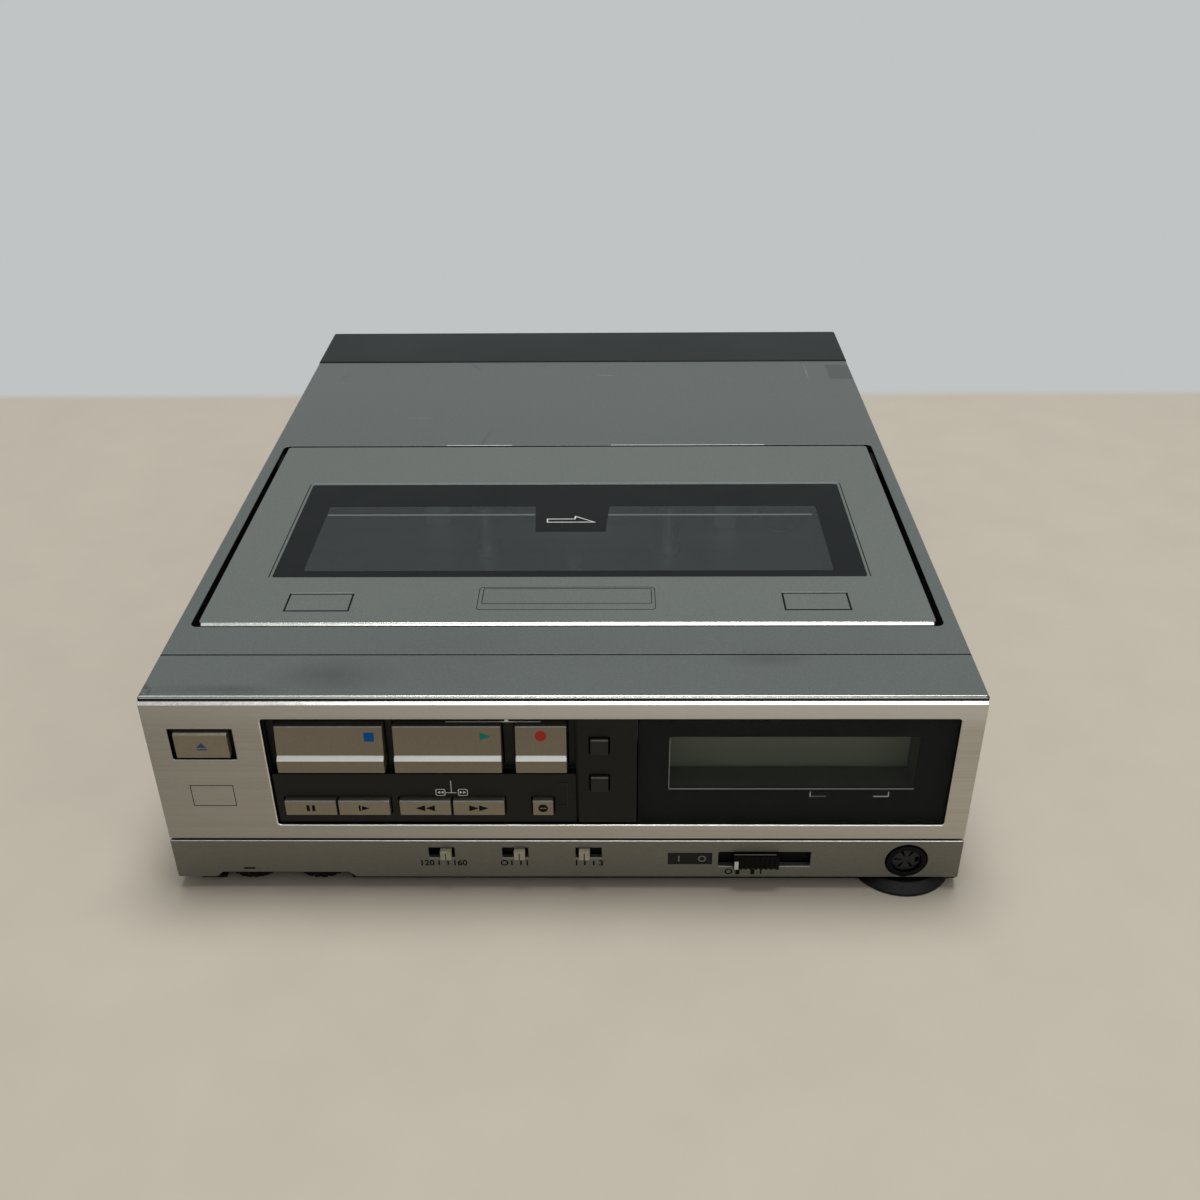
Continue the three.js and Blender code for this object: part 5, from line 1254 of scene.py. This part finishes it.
class RECORDER_OT_drum(RecorderStep, bpy.types.Operator):
    """Head drum, tape guides and fixed heads"""

    bl_idname = "recorder.drum"
    bl_label = "Head drum"

    def execute(self, context):
        for node in ("lower_drum", "upper_drum"):
            rounded_node(node, 0.3, "drum_metal")
        for node in ("entry_guide", "exit_guide", "erase_head", "audio_head"):
            rounded_node(node, 0.2)
        return {"FINISHED"}


class RECORDER_OT_tape_drive(RecorderStep, bpy.types.Operator):
    """Capstan, pinch roller and loading motor"""

    bl_idname = "recorder.tape_drive"
    bl_label = "Tape drive"

    def execute(self, context):
        for node in ("capstan", "capstan_motor", "pinch_arm", "pinch_roller", "loading_motor"):
            rounded_node(node, 0.25)
        return {"FINISHED"}


class RECORDER_OT_boards(RecorderStep, bpy.types.Operator):
    """Circuit boards with their small parts"""

    bl_idname = "recorder.boards"
    bl_label = "Boards"

    def execute(self, context):
        for node in ("key_board", "switch_board", "main_board"):
            rounded_node(node, 0.12)
        can = lathe([(0, 0), (2.2, 0), (2.2, 4.8), (1.9, 5.2), (1.5, 5.0), (0, 5.0)], 16)
        spots = [at(x, y, BOARD_TOP) for x in (18, 26, 34) for y in (52, 66, 80)]
        add_piece("board_cans", at_places(can, spots, "blue_part"), "cabinet", "board")
        bead = lathe([(0, 0), (1.0, 0.2), (1.3, 1.3), (1.0, 2.4), (0, 2.7)], 12)
        spots = [at(x, y, BOARD_TOP) for x in (44, 50, 56, 62) for y in (54, 62, 70, 78)]
        add_piece("board_beads", at_places(bead, spots, "amber_part"), "cabinet", "board")
        return {"FINISHED"}


class RECORDER_OT_battery(RecorderStep, bpy.types.Operator):
    """Battery pack and the ribbed door over it"""

    bl_idname = "recorder.battery"
    bl_label = "Battery"

    def execute(self, context):
        rounded_node("battery_pack", 1.2, segments=3)
        rounded_node("battery_door", 0.3)
        body = BODY_OF["battery_door"]
        rib = slab(-0.35, 0.35, 0, 16, 0, 0.5, 0.15)
        rib.transform(Matrix.Translation(-at(0, 8, 0)))
        ribs = in_row(rib, 6, (1.5, 0, 0), "matt_black")
        turn = Matrix(((0, 1, 0), (-1, 0, 0), (0, 0, 1))).transposed().to_4x4()
        ribs.transform(facing("right", (SIDE, REAR_BAY, 50.0)) @ turn)
        add_piece("battery_door_grip", finish_mesh(ribs, "matt_black"), body, "matt_black")
        marks("battery_door_arrow", "print_grey", body, "right", (SIDE + 0.1, REAR_BAY, 40.0),
              [[(-2.4, 1.4), (2.4, 1.4), (0, -1.8)]], slot="matt_black")
        return {"FINISHED"}


class RECORDER_OT_screws(RecorderStep, bpy.types.Operator):
    """Screws in the covers, the tray and the deck"""

    bl_idname = "recorder.screws"
    bl_label = "Screws"

    def execute(self, context):
        radius = sizes().screw_radius
        for face, side in (("left", -SIDE), ("right", SIDE)):
            screws("side_screws_" + face, face, [(side, y, 22) for y in (34, 212)], radius,
                   "matt_black")
        screws("tray_screws", "below",
               [(x, y, UNDERSIDE) for x in (-70, 0, 70) for y in (34, 222)], radius, "steel")
        screws("rear_screws", "back", [(x, REAR, 8) for x in (-70, 70)], radius, "matt_black")
        screws("deck_screws", "top", [(x, y, DECK_TOP) for x in (-98, 98) for y in (36, 222)],
               2.0, "steel")
        return {"FINISHED"}


def seen_rays(add):
    """1 for the rays that look at the background: from the camera, a mirror or a glass."""
    path = add("ShaderNodeLightPath").outputs
    share = path["Is Camera Ray"]
    for kind in ("Is Glossy Ray", "Is Transmission Ray"):
        share = add("ShaderNodeMath", {0: share, 1: path[kind]}, operation="MAXIMUM").outputs[0]
    return share


def make_floor():
    """Plain floor in front, which turns into the colour of the wall behind the recorder."""
    tree = FinishTree("floor_finish", 0.6, 0.0, 0.3)
    colour = tuple(colours().floor)
    grain = tree.noise(40, detail=3.0)
    tree.colour(tree.blend(grain, shift(colour, -0.02), shift(colour, 0.02)))
    tree.bump(grain, 0.01)
    far = tree.span(tree.axes()[1], WALL_START, WALL_START + WALL_BLEND)
    share = tree.times(far, seen_rays(tree.add))
    wall = tree.add("ShaderNodeEmission", {"Color": tuple(colours().wall), "Strength": 1.0})
    both = tree.add("ShaderNodeMixShader", {
        0: share, 1: tree.shader.outputs[0], 2: wall.outputs[0]})
    tree.join(both.outputs[0], tree.output.inputs[0])
    return tree.material


def make_world():
    """Soft even light, seen as the plain colour of the wall."""
    world = bpy.data.worlds.new("studio")
    world.use_nodes = True
    tree = world.node_tree
    tree.nodes.clear()
    add = functools.partial(add_node, tree)
    light = add("ShaderNodeBackground", {"Color": WHITE, "Strength": WORLD_LIGHT})
    wall = add("ShaderNodeBackground", {"Color": tuple(colours().wall), "Strength": 1.0})
    both = add("ShaderNodeMixShader", {
        0: seen_rays(add), 1: light.outputs[0], 2: wall.outputs[0]})
    add("ShaderNodeOutputWorld", {0: both.outputs[0]})
    return world


class RECORDER_OT_stage(RecorderStep, bpy.types.Operator):
    """Floor, backdrop, soft lamps and the camera"""

    bl_idname = "recorder.stage"
    bl_label = "Stage"

    def execute(self, context):
        scene = context.scene
        reach = FLOOR_REACH
        sheet = bpy.data.meshes.new("floor")
        sheet.from_pydata([(-reach, -reach, 0), (reach, -reach, 0), (reach, reach, 0),
                           (-reach, reach, 0)], [], [(0, 1, 2, 3)])
        sheet.materials.append(make_floor())
        ground = linked("floor", sheet)
        scene.world = make_world()
        for name, place, width, depth, power in LAMPS:
            lamp = bpy.data.lights.new(name, "AREA")
            lamp.shape = "RECTANGLE"
            lamp.size = width
            lamp.size_y = depth
            lamp.energy = power
            holder = linked(name, lamp)
            holder.location = place
            holder.rotation_euler = (-Vector(place)).to_track_quat("-Z", "Y").to_euler()
            holder.visible_diffuse = name != "front_soft"
            holder.visible_transmission = False
        lens = bpy.data.cameras.new("camera")
        lens.lens = CAMERA_LENS
        lens.sensor_width = 36
        lens.clip_start = 0.01
        camera = linked("camera", lens)
        camera.location = CAMERA_PLACE
        camera.rotation_euler = [math.radians(angle) for angle in CAMERA_TURN]
        scene.camera = camera
        scene.view_settings.view_transform = "Standard"
        return {"FINISHED"}


class RECORDER_PT_steps(bpy.types.Panel):
    """The recorder's pieces, one step each"""

    bl_label = "Recorder"
    bl_space_type = "VIEW_3D"
    bl_region_type = "UI"
    bl_category = "Recorder"

    def draw(self, context):
        for group in (context.scene.recorder_sizes, context.scene.recorder_colours):
            for key in group.__annotations__:
                self.layout.prop(group, key)
        for step in STEPS:
            self.layout.operator(step.bl_idname)


STEPS = (
    RECORDER_OT_finishes,
    RECORDER_OT_covers,
    RECORDER_OT_feet,
    RECORDER_OT_front_panels,
    RECORDER_OT_keys,
    RECORDER_OT_bezel_marks,
    RECORDER_OT_display,
    RECORDER_OT_switches,
    RECORDER_OT_sockets,
    RECORDER_OT_lid,
    RECORDER_OT_holder,
    RECORDER_OT_deck,
    RECORDER_OT_drum,
    RECORDER_OT_tape_drive,
    RECORDER_OT_boards,
    RECORDER_OT_battery,
    RECORDER_OT_screws,
    RECORDER_OT_stage,
)
CLASSES = (RecorderSizes, RecorderColours, *STEPS, RECORDER_PT_steps)


def register():
    for entry in CLASSES:
        bpy.utils.register_class(entry)
    bpy.types.Scene.recorder_sizes = bpy.props.PointerProperty(type=RecorderSizes)
    bpy.types.Scene.recorder_colours = bpy.props.PointerProperty(type=RecorderColours)


def unregister():
    del bpy.types.Scene.recorder_colours
    del bpy.types.Scene.recorder_sizes
    for entry in reversed(CLASSES):
        bpy.utils.unregister_class(entry)


def main():
    register()
    for step in STEPS:
        group, name = step.bl_idname.split(".")
        getattr(getattr(bpy.ops, group), name)()


if __name__ == "__main__":
    main()
